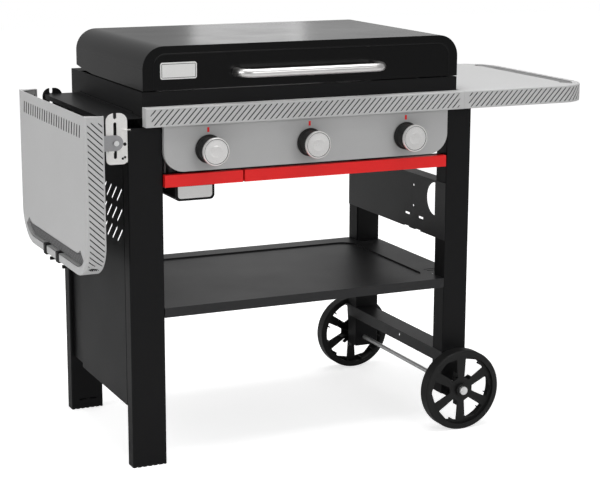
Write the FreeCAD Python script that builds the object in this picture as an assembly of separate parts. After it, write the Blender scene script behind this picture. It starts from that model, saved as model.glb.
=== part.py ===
import FreeCAD, Part
import math
import os

V = FreeCAD.Vector

# ---------------------------------------------------------------- sizes, mm
# Cart frame: X=0 is the middle of the cart, Y=0 the front face of the front
# legs, Z=0 the floor.  The whole set is moved to its own middle on export.

# work surface, cook box and griddle plate
WORK_H = 914.0          # top of the front ledge above the floor
BOX_HALF = 436.0        # half the width of the cook box
BOX_MID = -4.0          # middle of the cook box and lid
SHELF_GAP = 9.5         # from the cook box to the side shelf
LEG_STEP = 44.0         # how far the legs stand out past the half width
BOX_FRONT = 3.0         # front face of the cook box
BOX_BACK = 580.0        # back face of the cook box
BOX_RISE = 36.0         # cook box rim above the ledge
BOX_WALL = 4.0
PLATE_W = 762.0         # cooking surface, side to side
PLATE_D = 448.0         # cooking surface, front to back
PLATE_T = 6.0
PLATE_FRONT = 58.0      # front edge of the cooking surface
PLATE_RIM = 22.0        # height of the plate's rim above the surface
FIRE_H = 125.0          # depth of the burner box below its top flange
FIRE_TOP = WORK_H - 9.0
SHEET = 2.0             # pressed steel thickness
GAP = 0.3               # clearance between moving pieces
RUN = 0.05              # clearance of a running fit, on the radius

# legs and frame
LEG_HALF = BOX_HALF + LEG_STEP        # outer faces of the legs
LEG_TOP = WORK_H - 50.0
LEG_L_W = 90.0          # left legs, side to side
LEG_L_D = 40.0          # left legs, front to back
LEG_R_W = 72.0
LEG_R_D = 56.0
LEG_REAR = 522.0        # front face of the rear legs
LEG_R_FOOT = 84.0       # lower end of the right legs
FOOT_H = 4.0            # foot cap under a left leg
LEG_WALL = 2.0
LEG_RAD = 4.0
SHELF_Z = 408.0         # top of the bottom shelf
SHELF_LIP = 25.0
SHELF_BACK = 578.0
EMBOSS = 4.0            # depth of the pressed panel in the bottom shelf
SIDE_LOW = 155.0        # lower edge of the left side panel
JOG = 12.0              # how far the panel steps in at the rear leg
CROSS_LOW = 511.0       # right upper cross panel
CROSS_TOP = 666.0
CROSS_FLANGE = 42.0
HOSE_HOLE_R = 45.0
BAR_LOW = 170.0         # right lower crossbar
BAR_TOP = 202.0
BAR_FLANGE = 58.0

# wheels
WHEEL_R = 110.0
WHEEL_W = 38.0
WHEEL_GAP = 30.0        # from the leg to the wheel
AXLE_R = 6.0
AXLE_X = LEG_HALF - 47.0
HUB_R = 17.0

# front ledge, control panel, rail and tray
LEDGE_LEFT = BOX_MID - BOX_HALF
LEDGE_RIGHT = BOX_MID + BOX_HALF + SHELF_GAP - 0.5
LEDGE_FRONT = -25.0
LEDGE_H = 47.0
PANEL_FACE = -12.0
PANEL_HALF = 395.0
PANEL_MID = 4.0
PANEL_H = 115.0
PANEL_RAD = 52.0
RAIL_H = 30.0
RAIL_TOP = WORK_H - 169.0
RAIL_FACE = -11.0
RAIL_T = 18.0
RAIL_L = -389.0
RAIL_SPLIT = -182.0
RAIL_R = 398.0
SPLIT_GAP = 5.0
TRAY_X0 = -362.0
TRAY_X1 = -258.0
TRAY_H = 36.0
TRAY_L = 440.0
TRAY_RAD = 12.0
TRAY_T = 1.5
CHUTE_X = -338.0
CHUTE_Y = 92.0
CHUTE_R = 14.0

# gas train
KNOB_PITCH = 275.0
KNOB_Z = WORK_H - 109.0
KNOB_R = 34.0
KNOB_L = 44.0
KNOB_STAND = 4.0        # free space behind a knob
CAP_T = 7.0
CAP_R = 35.0
STEM_R = 4.0
VALVE_HALF = 12.0
VALVE_Y0 = 8.0
VALVE_Y1 = 38.0
PIPE_R = 9.0
BURNER_R = 18.0
BURNER_L = 380.0
NECK_R = 9.0
INLET_R = 11.0

# lid
LID_HALF = BOX_HALF - 1.0
LID_LIFT = 3.0          # gap the bumpers leave between lid and cook box
LID_H = 107.0
LID_BACK = 535.0
LID_RAD = 55.0
LID_T = 1.2
HINGE_Y = 556.0
HINGE_Z = WORK_H + 54.0
HINGE_R = 4.0
HINGE_X = 330.0
HANDLE_HALF = 196.0
HANDLE_MID = 1.0
HANDLE_R = 11.0
HANDLE_OUT = 47.0
HANDLE_Z = WORK_H + 76.0
HANDLE_BEND = 32.0

# side shelves
SHELF_IN = BOX_MID + BOX_HALF + SHELF_GAP    # inner end of a shelf when it is up
SHELF_LEN = 403.5
SHELF_OUT = SHELF_IN + SHELF_LEN
SHELF_F = -25.0
SHELF_B = 560.0
SHELF_H = 47.0
SHELF_T = 1.6
CORNER_X = 90.0         # plan corner of a shelf, along X
CORNER_Y = 100.0        # plan corner of a shelf, along Y
LIP_W = 11.0            # turned-in lower lip along the sides
BAR_W = 22.0            # handle bar at the outer end
SLOT_W = 33.0           # finger grip beside the handle bar
SLOT_TURN = 50.0        # how far the grip turns into each corner, degrees
GRIP_DEEP = 8.0         # depth of the plate in the grip
GRIP_GAP = 6.0          # open strip beside the bar, where a hook clips
LOUVRES = 24
PIVOT_X = LEG_HALF + 31.0       # pivot rod of the folding shelf
PIVOT_DROP = 82.0       # pivot below the shelf top
PIVOT_Z = WORK_H - PIVOT_DROP
GUIDE_LOW = PIVOT_Z - 35.0      # ends of the slot the rod can ride up in
GUIDE_TOP = PIVOT_Z + 46.0
ROD_R = 4.0
ARM_R = 19.0
ARM_T = 2.5
BRACKET_OUT = LEG_HALF + 54.0
BRACKET_LOW = PIVOT_Z - 53.0
BRACKET_TOP = PIVOT_Z + 72.0
BRACKET_T = 3.0
BRACKET_BACK = LEG_REAR + 20    # back face of the rear end plate
BEAM_TOP = BRACKET_TOP - 15.0
BEAM_LOW = BEAM_TOP - 27.0
HOOK_W = 18.0
HOOK_T = 3.5
HOOK_Y = (226.0, 336.0)


# ------------------------------------------------------------------ helpers
def box(x0, x1, y0, y1, z0, z1):
    return Part.makeBox(x1 - x0, y1 - y0, z1 - z0, V(x0, y0, z0))


def rod(p, axis, r, length):
    return Part.makeCylinder(r, length, V(*p), V(*axis))


def join(*shapes):
    out = shapes[0]
    for s in shapes[1:]:
        out = out.fuse(s)
    return out.removeSplitter()


def cut(a, *tools):
    for t in tools:
        a = a.cut(t)
    return a


def rounded(w, h, r_low, r_top):
    """Closed outline in the XZ plane, centred on X, from z=0 to z=h."""
    def corner(cx, cz, r, a0):
        if r <= 0:
            return [V(cx, 0, cz)]
        steps = [a0 + i * math.pi / 4 for i in range(3)]
        return [V(cx + r * math.cos(a), 0, cz + r * math.sin(a)) for a in steps]
    hw = w / 2
    rl = max(r_low, 0)
    rt = max(r_top, 0)
    runs = [corner(hw - rl, rl, rl, -math.pi / 2),
            corner(hw - rt, h - rt, rt, 0),
            corner(-hw + rt, h - rt, rt, math.pi / 2),
            corner(-hw + rl, rl, rl, math.pi)]
    edges = []
    for i, run in enumerate(runs):
        if len(run) == 3:
            edges.append(Part.Arc(run[0], run[1], run[2]).toShape())
        nxt = runs[(i + 1) % 4][0]
        if (run[-1] - nxt).Length > 1e-6:
            edges.append(Part.LineSegment(run[-1], nxt).toShape())
    return Part.Wire(edges)


def plate_xz(x, y, z, w, h, depth, r_low=0.0, r_top=0.0):
    """Rounded plate standing in XZ, centred on x, bottom at z, y to y+depth."""
    face = Part.Face(rounded(w, h, r_low, r_top))
    solid = face.extrude(V(0, depth, 0))
    solid.translate(V(x, y, z))
    return solid


def flat_plate(w, d, t, r, y, z):
    """Rounded plate lying flat, centred on X=0 and y, its top at z."""
    s = plate_xz(0, 0, 0, w, d, t, r, r)
    s.rotate(V(0, 0, 0), V(1, 0, 0), -90)
    s.translate(V(0, y - d / 2, z))
    return s


def poly_xz(points, y, depth):
    pts = [V(x, y, z) for x, z in points]
    face = Part.Face(Part.makePolygon(pts + pts[:1]))
    return face.extrude(V(0, depth, 0))


def poly_yz(points, x, depth):
    pts = [V(x, y, z) for y, z in points]
    face = Part.Face(Part.makePolygon(pts + pts[:1]))
    return face.extrude(V(depth, 0, 0))


def poly_xy(points, z, depth):
    pts = [V(x, y, z) for x, y in points]
    face = Part.Face(Part.makePolygon(pts + pts[:1]))
    return face.extrude(V(0, 0, depth))


def slot_x(x, y, z, length, width, depth):
    """Obround cutter, long along X, going down from z."""
    mid = box(x - length / 2, x + length / 2, y - width / 2, y + width / 2, z - depth, z)
    ends = [rod((x + s * length / 2, y, z - depth), (0, 0, 1), width / 2, depth) for s in (-1, 1)]
    return join(mid, *ends)


def bolt(p, axis, head_r=6.5, head_t=4.0, shank_r=3.0, shank=10.0):
    """Flange bolt: p is where the head seats, axis points from head to tip."""
    a = V(*axis)
    head = Part.makeCylinder(head_r, head_t, V(*p) - a * head_t, a)
    dome = Part.makeCylinder(head_r * 0.62, 1.2, V(*p) - a * (head_t + 1.2), a)
    body = Part.makeCylinder(shank_r, shank, V(*p), a)
    return join(head, dome, body)


# --------------------------------------------------------------- frame parts
def leg(x0, x1, y0, depth, z0, holes=()):
    outer = box(x0, x1, y0, y0 + depth, z0, LEG_TOP)
    edges = [e for e in outer.Edges if abs(e.Vertexes[0].Z - e.Vertexes[-1].Z) > 100]
    outer = outer.makeFillet(LEG_RAD, edges)
    inner = box(x0 + LEG_WALL, x1 - LEG_WALL, y0 + LEG_WALL, y0 + depth - LEG_WALL,
                z0 - 1, LEG_TOP - LEG_WALL)
    return cut(outer, inner, *holes)


def bolt_hole(x, y, z, axis, r=3.3, length=14.0):
    a = V(*axis)
    return Part.makeCylinder(r, length, V(x, y, z) - a * (length / 2), a)


LX0, LX1 = -LEG_HALF, -LEG_HALF + LEG_L_W
RX0, RX1 = LEG_HALF - 2 - LEG_R_W, LEG_HALF - 2
SHELF_BOLT_Z = SHELF_Z - SHELF_LIP / 2
SCREW_R = 2.5           # screws that hold the shelf bracket to the left legs
SCREW_Y = (13.0, BRACKET_BACK - 13.0)
SCREW_Z = (BRACKET_LOW + 22, LEG_TOP - 20)


def legs():
    foot_slots = [box(LX0 + 22 + 30 * i, LX0 + 42 + 30 * i, LEG_REAR - 1, LEG_REAR + 3, 26, 29)
                  for i in range(2)]
    axle = [rod((AXLE_X, y - 1, WHEEL_R), (0, 1, 0), AXLE_R, LEG_R_D + 2) for y in (0, LEG_REAR)]
    left = [bolt_hole(LX1 - 1, y, SHELF_BOLT_Z, (1, 0, 0), 3.0, 8)
            for y in (LEG_L_D / 2, LEG_REAR + LEG_L_D / 2)]
    right = [bolt_hole(RX0 + 1, y, SHELF_BOLT_Z, (1, 0, 0), 3.0, 8)
             for y in (LEG_R_D / 2, LEG_REAR + LEG_R_D / 2)]
    screws = [[bolt_hole(LX0 + 1, y, z, (1, 0, 0), SCREW_R, 8) for z in SCREW_Z] for y in SCREW_Y]
    return {
        "leg_front_left": leg(LX0, LX1, 0, LEG_L_D, FOOT_H, [left[0]] + screws[0]),
        "leg_rear_left": leg(LX0, LX1, LEG_REAR, LEG_L_D, FOOT_H, [left[1]] + screws[1] + foot_slots),
        "leg_front_right": leg(RX0, RX1, 0, LEG_R_D, LEG_R_FOOT, [axle[0], right[0]]),
        "leg_rear_right": leg(RX0, RX1, LEG_REAR, LEG_R_D, LEG_R_FOOT, [axle[1], right[1]]),
    }


def foot_caps():
    out = []
    for y in (0, LEG_REAR):
        sole = box(LX0, LX1, y, y + LEG_L_D, 0, FOOT_H)
        edges = [e for e in sole.Edges if abs(e.Vertexes[0].Z - e.Vertexes[-1].Z) > 1]
        sole = sole.makeFillet(LEG_RAD, edges)
        treads = [box(LX0 + 8 + 14 * i, LX0 + 13 + 14 * i, y - 1, y + LEG_L_D + 1, -1, 1.5)
                  for i in range(6)]
        plug = box(LX0 + LEG_WALL, LX1 - LEG_WALL, y + LEG_WALL, y + LEG_L_D - LEG_WALL,
                   FOOT_H, FOOT_H + 20)
        core = box(LX0 + 5, LX1 - 5, y + 5, y + LEG_L_D - 5, FOOT_H, FOOT_H + 21)
        out.append(join(cut(sole, *treads), cut(plug, core)))
    return Part.makeCompound(out)


def side_panel():
    """Left side sheet: flat in the outer plane, stepped in at the rear leg."""
    t = 1.5
    x = -LEG_HALF
    top = LEG_TOP - 4
    y0 = LEG_L_D
    ys = LEG_REAR - 112
    main = box(x, x + t, y0, ys + t, SIDE_LOW, top)
    hem = box(x, x + 22, y0, y0 + t, SIDE_LOW, top)
    step = box(x, x + JOG + t, ys, ys + t, SIDE_LOW, top)
    back = box(x + JOG, x + JOG + t, ys, LEG_REAR, SIDE_LOW, top)
    tab = box(x + JOG, x + JOG + 22, LEG_REAR - t, LEG_REAR, SIDE_LOW, top)
    panel = join(main, hem, step, back, tab)
    slots = []
    for row in range(3):
        for col in range(8):
            y = 72 + col * 40
            z = LEG_TOP - 174 - row * 51
            s = box(x - 2, x + t + 2, -24, 24, -3.2, 3.2)
            ends = [rod((x - 2, e, 0), (1, 0, 0), 3.2, t + 4) for e in (-24, 24)]
            s = join(s, *ends)
            s.rotate(V(0, 0, 0), V(1, 0, 0), -42)
            s.translate(V(0, y, z))
            slots.append(s)
    clear = [box(x + JOG + t, x + JOG + 30, y - 1, y + t + 1, SHELF_Z - SHELF_LIP - 1, SHELF_Z + 1)
             for y in (y0, LEG_REAR - t)]
    return cut(panel, *clear, *slots)


def cross_panel():
    t = 1.5
    x = RX0 - t
    y0, y1 = 2.0, LEG_REAR + LEG_R_D - 2
    web = box(x, x + t, y0, y1, CROSS_LOW, CROSS_TOP)
    top = box(x, x + CROSS_FLANGE, LEG_R_D, LEG_REAR, CROSS_TOP - t, CROSS_TOP)
    low = box(x, x + 12, LEG_R_D, LEG_REAR, CROSS_LOW, CROSS_LOW + t)
    hole = rod((x - 1, LEG_R_D, 615), (1, 0, 0), HOSE_HOLE_R, 4)
    keep = box(x - 2, x + 4, 0, LEG_R_D, 560, 670)
    small = [rod((x - 1, 176, z), (1, 0, 0), 3.5, 4) for z in (634, 577)]
    small += [box(x - 1, x + 3, y - 13, y + 13, 547, 553) for y in (132, 209)]
    small += [box(x - 1, x + 30, y - 16, y + 16, CROSS_LOW - 1, CROSS_LOW + 3) for y in (150, 215)]
    return cut(join(web, top, low), hole.cut(keep), *small)


def crossbar():
    t = 1.5
    x = RX0 - t
    web = box(x, x + t, 2, LEG_REAR + LEG_R_D - 2, BAR_LOW, BAR_TOP)
    top = box(x, x + BAR_FLANGE, LEG_R_D, LEG_REAR, BAR_TOP - t, BAR_TOP)
    hole = rod((x - 1, 245, BAR_TOP - 12), (1, 0, 0), 3.5, 4)
    return cut(join(web, top), hole)


def bottom_shelf():
    """Pressed shelf: notched round the legs, lipped all round, embossed."""
    t = 1.5
    zl = SHELF_Z - SHELF_LIP
    xo = LEG_HALF - 2
    body = box(-xo + JOG, xo, 0, SHELF_BACK, zl, SHELF_Z)
    inner = box(-xo + JOG + t, xo - t, t, SHELF_BACK - t, zl - 1, SHELF_Z - t)
    bites = [box(-xo - 20, LX1, -1, LEG_L_D, zl - 2, SHELF_Z + 2),
             box(RX0, xo + 1, -1, LEG_R_D, zl - 2, SHELF_Z + 2),
             box(-xo - 20, LX1, LEG_REAR, SHELF_BACK + 1, zl - 2, SHELF_Z + 2),
             box(RX0, xo + 1, LEG_REAR, SHELF_BACK + 1, zl - 2, SHELF_Z + 2)]
    cheeks = [box(LX1, LX1 + t, 0, LEG_L_D + t, zl, SHELF_Z),
              box(RX0 - t, RX0, 0, LEG_R_D + t, zl, SHELF_Z),
              box(LX1, LX1 + t, LEG_REAR - t, SHELF_BACK, zl, SHELF_Z),
              box(RX0 - t, RX0, LEG_REAR - t, SHELF_BACK, zl, SHELF_Z)]
    shelf = join(cut(body, inner, *bites), *cheeks)
    w, d = 2 * xo - 190, SHELF_BACK - 110
    pan = flat_plate(w, d, EMBOSS, 45, SHELF_BACK / 2, SHELF_Z)
    floor = flat_plate(w + 2 * t, d + 2 * t, EMBOSS + t, 46, SHELF_BACK / 2, SHELF_Z)
    shelf = cut(join(shelf, floor), pan)
    slots = []
    for y in (96, SHELF_BACK - 96):
        for k in (0, 1):
            slots.append(slot_x(xo - 52, y + 18 * k, SHELF_Z + 1, 34, 5, 8))
    holes = [rod((sx * (w / 2 + 24), y, SHELF_Z - 8), (0, 0, 1), 4, 10)
             for sx in (-1, 1) for y in (66, SHELF_BACK - 66)]
    bolts = [bolt_hole(x, y, SHELF_BOLT_Z, (1, 0, 0), 3.0, 8)
             for x, y in ((LX1 + 1, LEG_L_D / 2), (LX1 + 1, LEG_REAR + LEG_L_D / 2),
                          (RX0 - 1, LEG_R_D / 2), (RX0 - 1, LEG_REAR + LEG_R_D / 2))]
    return cut(shelf, *slots, *holes, *bolts)


def shelf_bolts():
    t = 1.5
    out = []
    for x, y, s in ((LX1 + t, LEG_L_D / 2, -1), (LX1 + t, LEG_REAR + LEG_L_D / 2, -1),
                    (RX0 - t, LEG_R_D / 2, 1), (RX0 - t, LEG_REAR + LEG_R_D / 2, 1)):
        out.append(bolt((x, y, SHELF_BOLT_Z), (s, 0, 0), 6.5, 4, 3.0, 5.5))
    return Part.makeCompound(out)


def front_crossbar():
    """Box bar between the front legs that carries the red rail."""
    y0 = RAIL_FACE + RAIL_T
    outer = box(LX1, RX0, y0, y0 + 20, RAIL_TOP - RAIL_H, RAIL_TOP)
    inner = box(LX1 - 1, RX0 + 1, y0 + 1.6, y0 + 18.4, RAIL_TOP - RAIL_H + 1.6, RAIL_TOP - 1.6)
    return cut(outer, inner)


def rear_crossbar():
    y0 = LEG_REAR + 8
    outer = box(LX1, RX0, y0, y0 + 24, LEG_TOP - 60, LEG_TOP - 20)
    inner = box(LX1 - 1, RX0 + 1, y0 + 1.6, y0 + 22.4, LEG_TOP - 58.4, LEG_TOP - 21.6)
    return cut(outer, inner)


# -------------------------------------------------------------------- wheels
WY_FRONT = -WHEEL_GAP - WHEEL_W
WY_REAR = LEG_REAR + LEG_R_D + 6


def wheel(y0, face):
    """Moulded wheel, six windows; face is -1 when the dish looks to -Y."""
    z = WHEEL_R
    tyre = rod((AXLE_X, y0, z), (0, 1, 0), WHEEL_R, WHEEL_W)
    edges = [e for e in tyre.Edges if abs(e.Length - 2 * math.pi * WHEEL_R) < 1]
    tyre = tyre.makeFillet(5, edges)
    rim_r = WHEEL_R - 16
    front = y0 if face < 0 else y0 + WHEEL_W - 9
    dish_f = rod((AXLE_X, front - 0.5, z), (0, 1, 0), rim_r, 9.5)
    back0 = y0 + 13 if face < 0 else y0 - 0.5
    dish_b = rod((AXLE_X, back0, z), (0, 1, 0), rim_r, WHEEL_W - 12.5)
    body = cut(tyre, dish_f, dish_b)
    hub = rod((AXLE_X, y0 + 1, z), (0, 1, 0), HUB_R, WHEEL_W - 2)
    ribs = []
    for i in range(12):
        rib = box(HUB_R - 2, rim_r + 2, back0 + 0.5, back0 + WHEEL_W - 18, -1.2, 1.2)
        rib.rotate(V(0, 0, 0), V(0, 1, 0), 15 + i * 30)
        rib.translate(V(AXLE_X, 0, z))
        ribs.append(rib)
    body = join(body, hub, *ribs)
    windows = []
    for i in range(6):
        a = math.radians(i * 60)
        spread = math.radians(21)
        pts = [(AXLE_X + r * math.cos(a + s * spread * k), z + r * math.sin(a + s * spread * k))
               for r, s, k in ((34, -1, 0.62), (rim_r - 9, -1, 1), (rim_r - 4, 0, 1),
                               (rim_r - 9, 1, 1), (34, 1, 0.62))]
        windows.append(poly_xz(pts, y0 - 1, WHEEL_W + 2))
    bore = rod((AXLE_X, y0 - 1, z), (0, 1, 0), AXLE_R + RUN, WHEEL_W + 2)
    return cut(body, *windows, bore)


def axle():
    return rod((AXLE_X, WY_FRONT - 9, WHEEL_R), (0, 1, 0), AXLE_R,
               WY_REAR + WHEEL_W + 9 - (WY_FRONT - 9))


def axle_nuts():
    """Cap nuts outside the wheels and spacers between wheel and leg."""
    out = []
    for y, s in ((WY_FRONT - GAP - 7, 1), (WY_REAR + WHEEL_W + GAP, 1)):
        ring = rod((AXLE_X, y, WHEEL_R), (0, 1, 0), 11, 7)
        out.append(cut(ring, rod((AXLE_X, y - 1, WHEEL_R), (0, 1, 0), AXLE_R, 9)))
    for y0, y1 in ((WY_FRONT + WHEEL_W + GAP, 0), (LEG_REAR + LEG_R_D, WY_REAR - GAP)):
        ring = rod((AXLE_X, y0, WHEEL_R), (0, 1, 0), 10, y1 - y0)
        out.append(cut(ring, rod((AXLE_X, y0 - 1, WHEEL_R), (0, 1, 0), AXLE_R, y1 - y0 + 2)))
    return Part.makeCompound(out)


# ------------------------------------------------------------------ cook box
BOX_LOW = LEG_TOP
BOX_TOP = WORK_H + BOX_RISE
PX0, PX1 = -PLATE_W / 2 - 5, PLATE_W / 2 + 5
PY0, PY1 = PLATE_FRONT - 5, PLATE_FRONT + PLATE_D + 5
FIRE_LOW = FIRE_TOP - FIRE_H
REST_Z = FIRE_TOP + SHEET
KNOB_X = (-KNOB_PITCH, 0.0, KNOB_PITCH)
FX0, FX1 = PX0 + 12, PX1 - 12       # burner box, inside the plate's edge
FY0, FY1 = PY0 + 12, PY1 - 12
BUMPER_Y = (BOX_FRONT + 14, BOX_BACK - 60)


def cook_box():
    """Outer shell with a deck inside, standing on the leg tops."""
    half = BOX_HALF
    shell = cut(box(-half, half, BOX_FRONT, BOX_BACK, BOX_LOW, BOX_TOP),
                box(-half + BOX_WALL, half - BOX_WALL, BOX_FRONT + BOX_WALL, BOX_BACK - BOX_WALL,
                    BOX_LOW - 1, BOX_TOP + 1))
    deck = box(-half + 1, half - 1, BOX_FRONT + 1, BOX_BACK - 1, FIRE_TOP, REST_Z)
    bars = [rod((s * (half - 30), y, BOX_TOP - 8), (0, 0, 1), 5, 8) for s in (-1, 1) for y in BUMPER_Y]
    corners = [box(x, x + 39, y0, y1, BOX_TOP - 2, BOX_TOP)
               for x in (-half + 1, half - 40)
               for y0, y1 in ((BOX_FRONT + 1, BOX_FRONT + 28), (BOX_BACK - 72, BOX_BACK - 1))]
    body = join(shell, deck, *bars, *corners)
    body.translate(V(BOX_MID, 0, 0))
    soles = [box(x0, x1, y0, y1, LEG_TOP, LEG_TOP + 3)
             for x0, x1 in ((BOX_MID - half + 1, LX1 + 20), (RX0 - 20, BOX_MID + half - 1))
             for y0, y1 in ((BOX_FRONT + 1, LEG_L_D + 12), (LEG_REAR - 12, BOX_BACK - 1))]
    well = box(FX0 + SHEET, FX1 - SHEET, FY0 + SHEET, FY1 - SHEET, FIRE_TOP - 1, REST_Z + 1)
    grooves = []
    z = WORK_H - 16
    for x in (BOX_MID - half - 0.5, BOX_MID + half - 1.5):
        grooves.append(box(x, x + 2, 78, BOX_BACK - 80, z - 3, z))
        grooves.append(box(x, x + 2, 66, 69, BOX_LOW - 1, z - 12))
        grooves.append(poly_yz([(66, z - 13), (69, z - 14), (80, z - 3), (78, z)], x, 2))
    return cut(join(body, *soles), well, *grooves)


def burner_box():
    """Pan welded under the deck, open at the top, with air slots in its floor."""
    pan = box(FX0, FX1, FY0, FY1, FIRE_LOW, FIRE_TOP)
    hollow = box(FX0 + SHEET, FX1 - SHEET, FY0 + SHEET, FY1 - SHEET, FIRE_LOW + SHEET, FIRE_TOP + 1)
    holes = [rod((x, FY0 - 2, KNOB_Z), (0, 1, 0), NECK_R + 2, 8) for x in KNOB_X]
    holes += [rod((CHUTE_X, CHUTE_Y, FIRE_LOW - 1), (0, 0, 1), CHUTE_R, 6)]
    holes += [slot_x(x, y, FIRE_LOW + 3, 60, 10, 6) for x in (-137.5, 137.5) for y in (160, 300, 440)]
    return cut(pan, hollow, *holes)


def bumpers():
    out = []
    for s in (-1, 1):
        for y in BUMPER_Y:
            out.append(rod((BOX_MID + s * (BOX_HALF - 30), y, BOX_TOP), (0, 0, 1), 5, LID_LIFT - GAP))
    return Part.makeCompound(out)


def griddle_plate():
    """Flat plate with a welded rim and a drain hole at the front left."""
    z = REST_Z + GAP
    x0, x1 = -PLATE_W / 2 - 4, PLATE_W / 2 + 4
    y0, y1 = PLATE_FRONT - 4, PLATE_FRONT + PLATE_D + 4
    outer = box(x0, x1, y0, y1, z, z + PLATE_T + PLATE_RIM)
    inner = box(x0 + 4, x1 - 4, y0 + 4, y1 - 4, z + PLATE_T, z + PLATE_T + PLATE_RIM + 1)
    gutter = box(-PLATE_W / 2 + 6, PLATE_W / 2 - 6, y0 + 26, y0 + 44, z + PLATE_T - 2, z + PLATE_T + 1)
    drain = rod((CHUTE_X, CHUTE_Y, z - 1), (0, 0, 1), 10, PLATE_T + 2)
    return cut(outer, inner, gutter, drain)


def grease_chute():
    top = REST_Z
    low = RAIL_TOP - RAIL_H + 3
    pipe = cut(rod((CHUTE_X, CHUTE_Y, low), (0, 0, 1), CHUTE_R, top - low),
               rod((CHUTE_X, CHUTE_Y, low - 1), (0, 0, 1), CHUTE_R - 1.5, top - low + 2))
    return pipe


def burner(x):
    y0 = FY0 + SHEET + 12
    tube = rod((x, y0, KNOB_Z), (0, 1, 0), BURNER_R, BURNER_L)
    bore = rod((x, y0 + 2, KNOB_Z), (0, 1, 0), BURNER_R - 1.5, BURNER_L - 4)
    cone = Part.makeCone(NECK_R, BURNER_R, 14, V(x, y0 - 14, KNOB_Z), V(0, 1, 0))
    neck = rod((x, VALVE_Y1 + 6, KNOB_Z), (0, 1, 0), NECK_R, y0 - VALVE_Y1 - 18)
    throat = rod((x, VALVE_Y1 + 5, KNOB_Z), (0, 1, 0), NECK_R - 1.5, y0 - VALVE_Y1)
    ports = [box(x - BURNER_R - 1, x + BURNER_R + 1, y0 + 20 + 16 * i, y0 + 22 + 16 * i,
                 KNOB_Z + 5, KNOB_Z + 8) for i in range(22)]
    foot = box(x - 14, x + 14, y0 + BURNER_L - 30, y0 + BURNER_L - 26, FIRE_LOW + SHEET, KNOB_Z - BURNER_R + 3)
    lug = box(x - 14, x + 14, y0 + 10, y0 + 14, FIRE_LOW + SHEET, KNOB_Z - BURNER_R + 3)
    return cut(join(tube, cone, neck, foot, lug), bore, throat, *ports)


def manifold():
    z = KNOB_Z - VALVE_HALF - PIPE_R
    y = (VALVE_Y0 + VALVE_Y1) / 2
    x0, x1 = -KNOB_PITCH - 40, KNOB_PITCH + 70
    pipe = rod((x0, y, z), (1, 0, 0), PIPE_R, x1 - x0)
    cap = rod((x0 - 3, y, z), (1, 0, 0), PIPE_R + 1, 5)
    arms = [box(x - 8, x + 8, y, FY0, z - 3, z + 3) for x in (-150, 150)]
    pads = [box(x - 9, x + 9, y - 6, y + 6, z, z + PIPE_R) for x in KNOB_X]
    return cut(join(pipe, cap, *arms, *pads), rod((x0 + 2, y, z), (1, 0, 0), PIPE_R - 2, x1 - x0))


def gas_inlet():
    """Brass inlet with a hex and a threaded nose, where a hose screws on."""
    z = KNOB_Z - VALVE_HALF - PIPE_R
    y = (VALVE_Y0 + VALVE_Y1) / 2
    x = KNOB_PITCH + 70
    hexa = Part.Face(Part.makePolygon([V(x, y + INLET_R * math.cos(math.radians(60 * i)),
                                         z + INLET_R * math.sin(math.radians(60 * i)))
                                       for i in range(7)])).extrude(V(10, 0, 0))
    nose = rod((x + 10, y, z), (1, 0, 0), 7.5, 14)
    grooves = []
    for i in range(5):
        ring = cut(rod((x + 12 + i * 2.4, y, z), (1, 0, 0), 9, 1), rod((x + 11 + i * 2.4, y, z), (1, 0, 0), 6.8, 3))
        grooves.append(ring)
    return cut(join(hexa, nose), rod((x - 1, y, z), (1, 0, 0), 4, 26), *grooves)


def valve(x):
    body = box(x - VALVE_HALF, x + VALVE_HALF, VALVE_Y0, VALVE_Y1, KNOB_Z - VALVE_HALF, KNOB_Z + VALVE_HALF)
    jet = rod((x, VALVE_Y1, KNOB_Z), (0, 1, 0), 5, 5)
    nose = rod((x, 2, KNOB_Z), (0, 1, 0), 9, VALVE_Y0 - 2)
    hole = rod((x, 1, KNOB_Z), (0, 1, 0), STEM_R + RUN, VALVE_Y1 - 8)
    return cut(join(body, jet, nose), hole)


KNOB_BACK = PANEL_FACE - KNOB_STAND
KNOB_FACE = KNOB_BACK - KNOB_L


def valve_stem(x):
    flat = 1.0
    y0 = KNOB_FACE + 12
    pin = rod((x, y0, KNOB_Z), (0, 1, 0), STEM_R, VALVE_Y1 - 9 - y0)
    flats = box(x - STEM_R, x + STEM_R, y0 - 1, PANEL_FACE, KNOB_Z + STEM_R - flat, KNOB_Z + STEM_R + 1)
    return cut(pin, flats)


def knob(x):
    """Round grip with a flared skirt, hollow behind, on the stem's flat."""
    grip = rod((x, KNOB_FACE, KNOB_Z), (0, 1, 0), KNOB_R - 3, KNOB_L - 8)
    skirt = Part.makeCone(KNOB_R - 3, KNOB_R + 2, 8, V(x, KNOB_BACK - 8, KNOB_Z), V(0, 1, 0))
    hollow = rod((x, KNOB_FACE + 10, KNOB_Z), (0, 1, 0), KNOB_R - 7, KNOB_L)
    boss = rod((x, KNOB_FACE + 6, KNOB_Z), (0, 1, 0), 9, KNOB_L - 6)
    y0 = KNOB_FACE + 8
    bore = rod((x, y0, KNOB_Z), (0, 1, 0), STEM_R + RUN, KNOB_L)
    key = box(x - 5, x + 5, y0, KNOB_BACK, KNOB_Z + STEM_R - 1 + RUN, KNOB_Z + 6)
    bore = cut(bore, key)
    return cut(join(cut(join(grip, skirt), hollow), boss), bore)


def knob_cap(x):
    """Bright disc pressed on the knob, with a raised rim."""
    y = KNOB_FACE
    disc = rod((x, y - CAP_T, KNOB_Z), (0, 1, 0), CAP_R, CAP_T)
    edges = [e for e in disc.Edges if abs(e.Length - 2 * math.pi * CAP_R) < 1 and e.Vertexes[0].Y < y - 1]
    disc = disc.makeFillet(2, edges)
    dish = rod((x, y - CAP_T - 1, KNOB_Z), (0, 1, 0), CAP_R - 5, 2.2)
    return cut(disc, dish)


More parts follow.
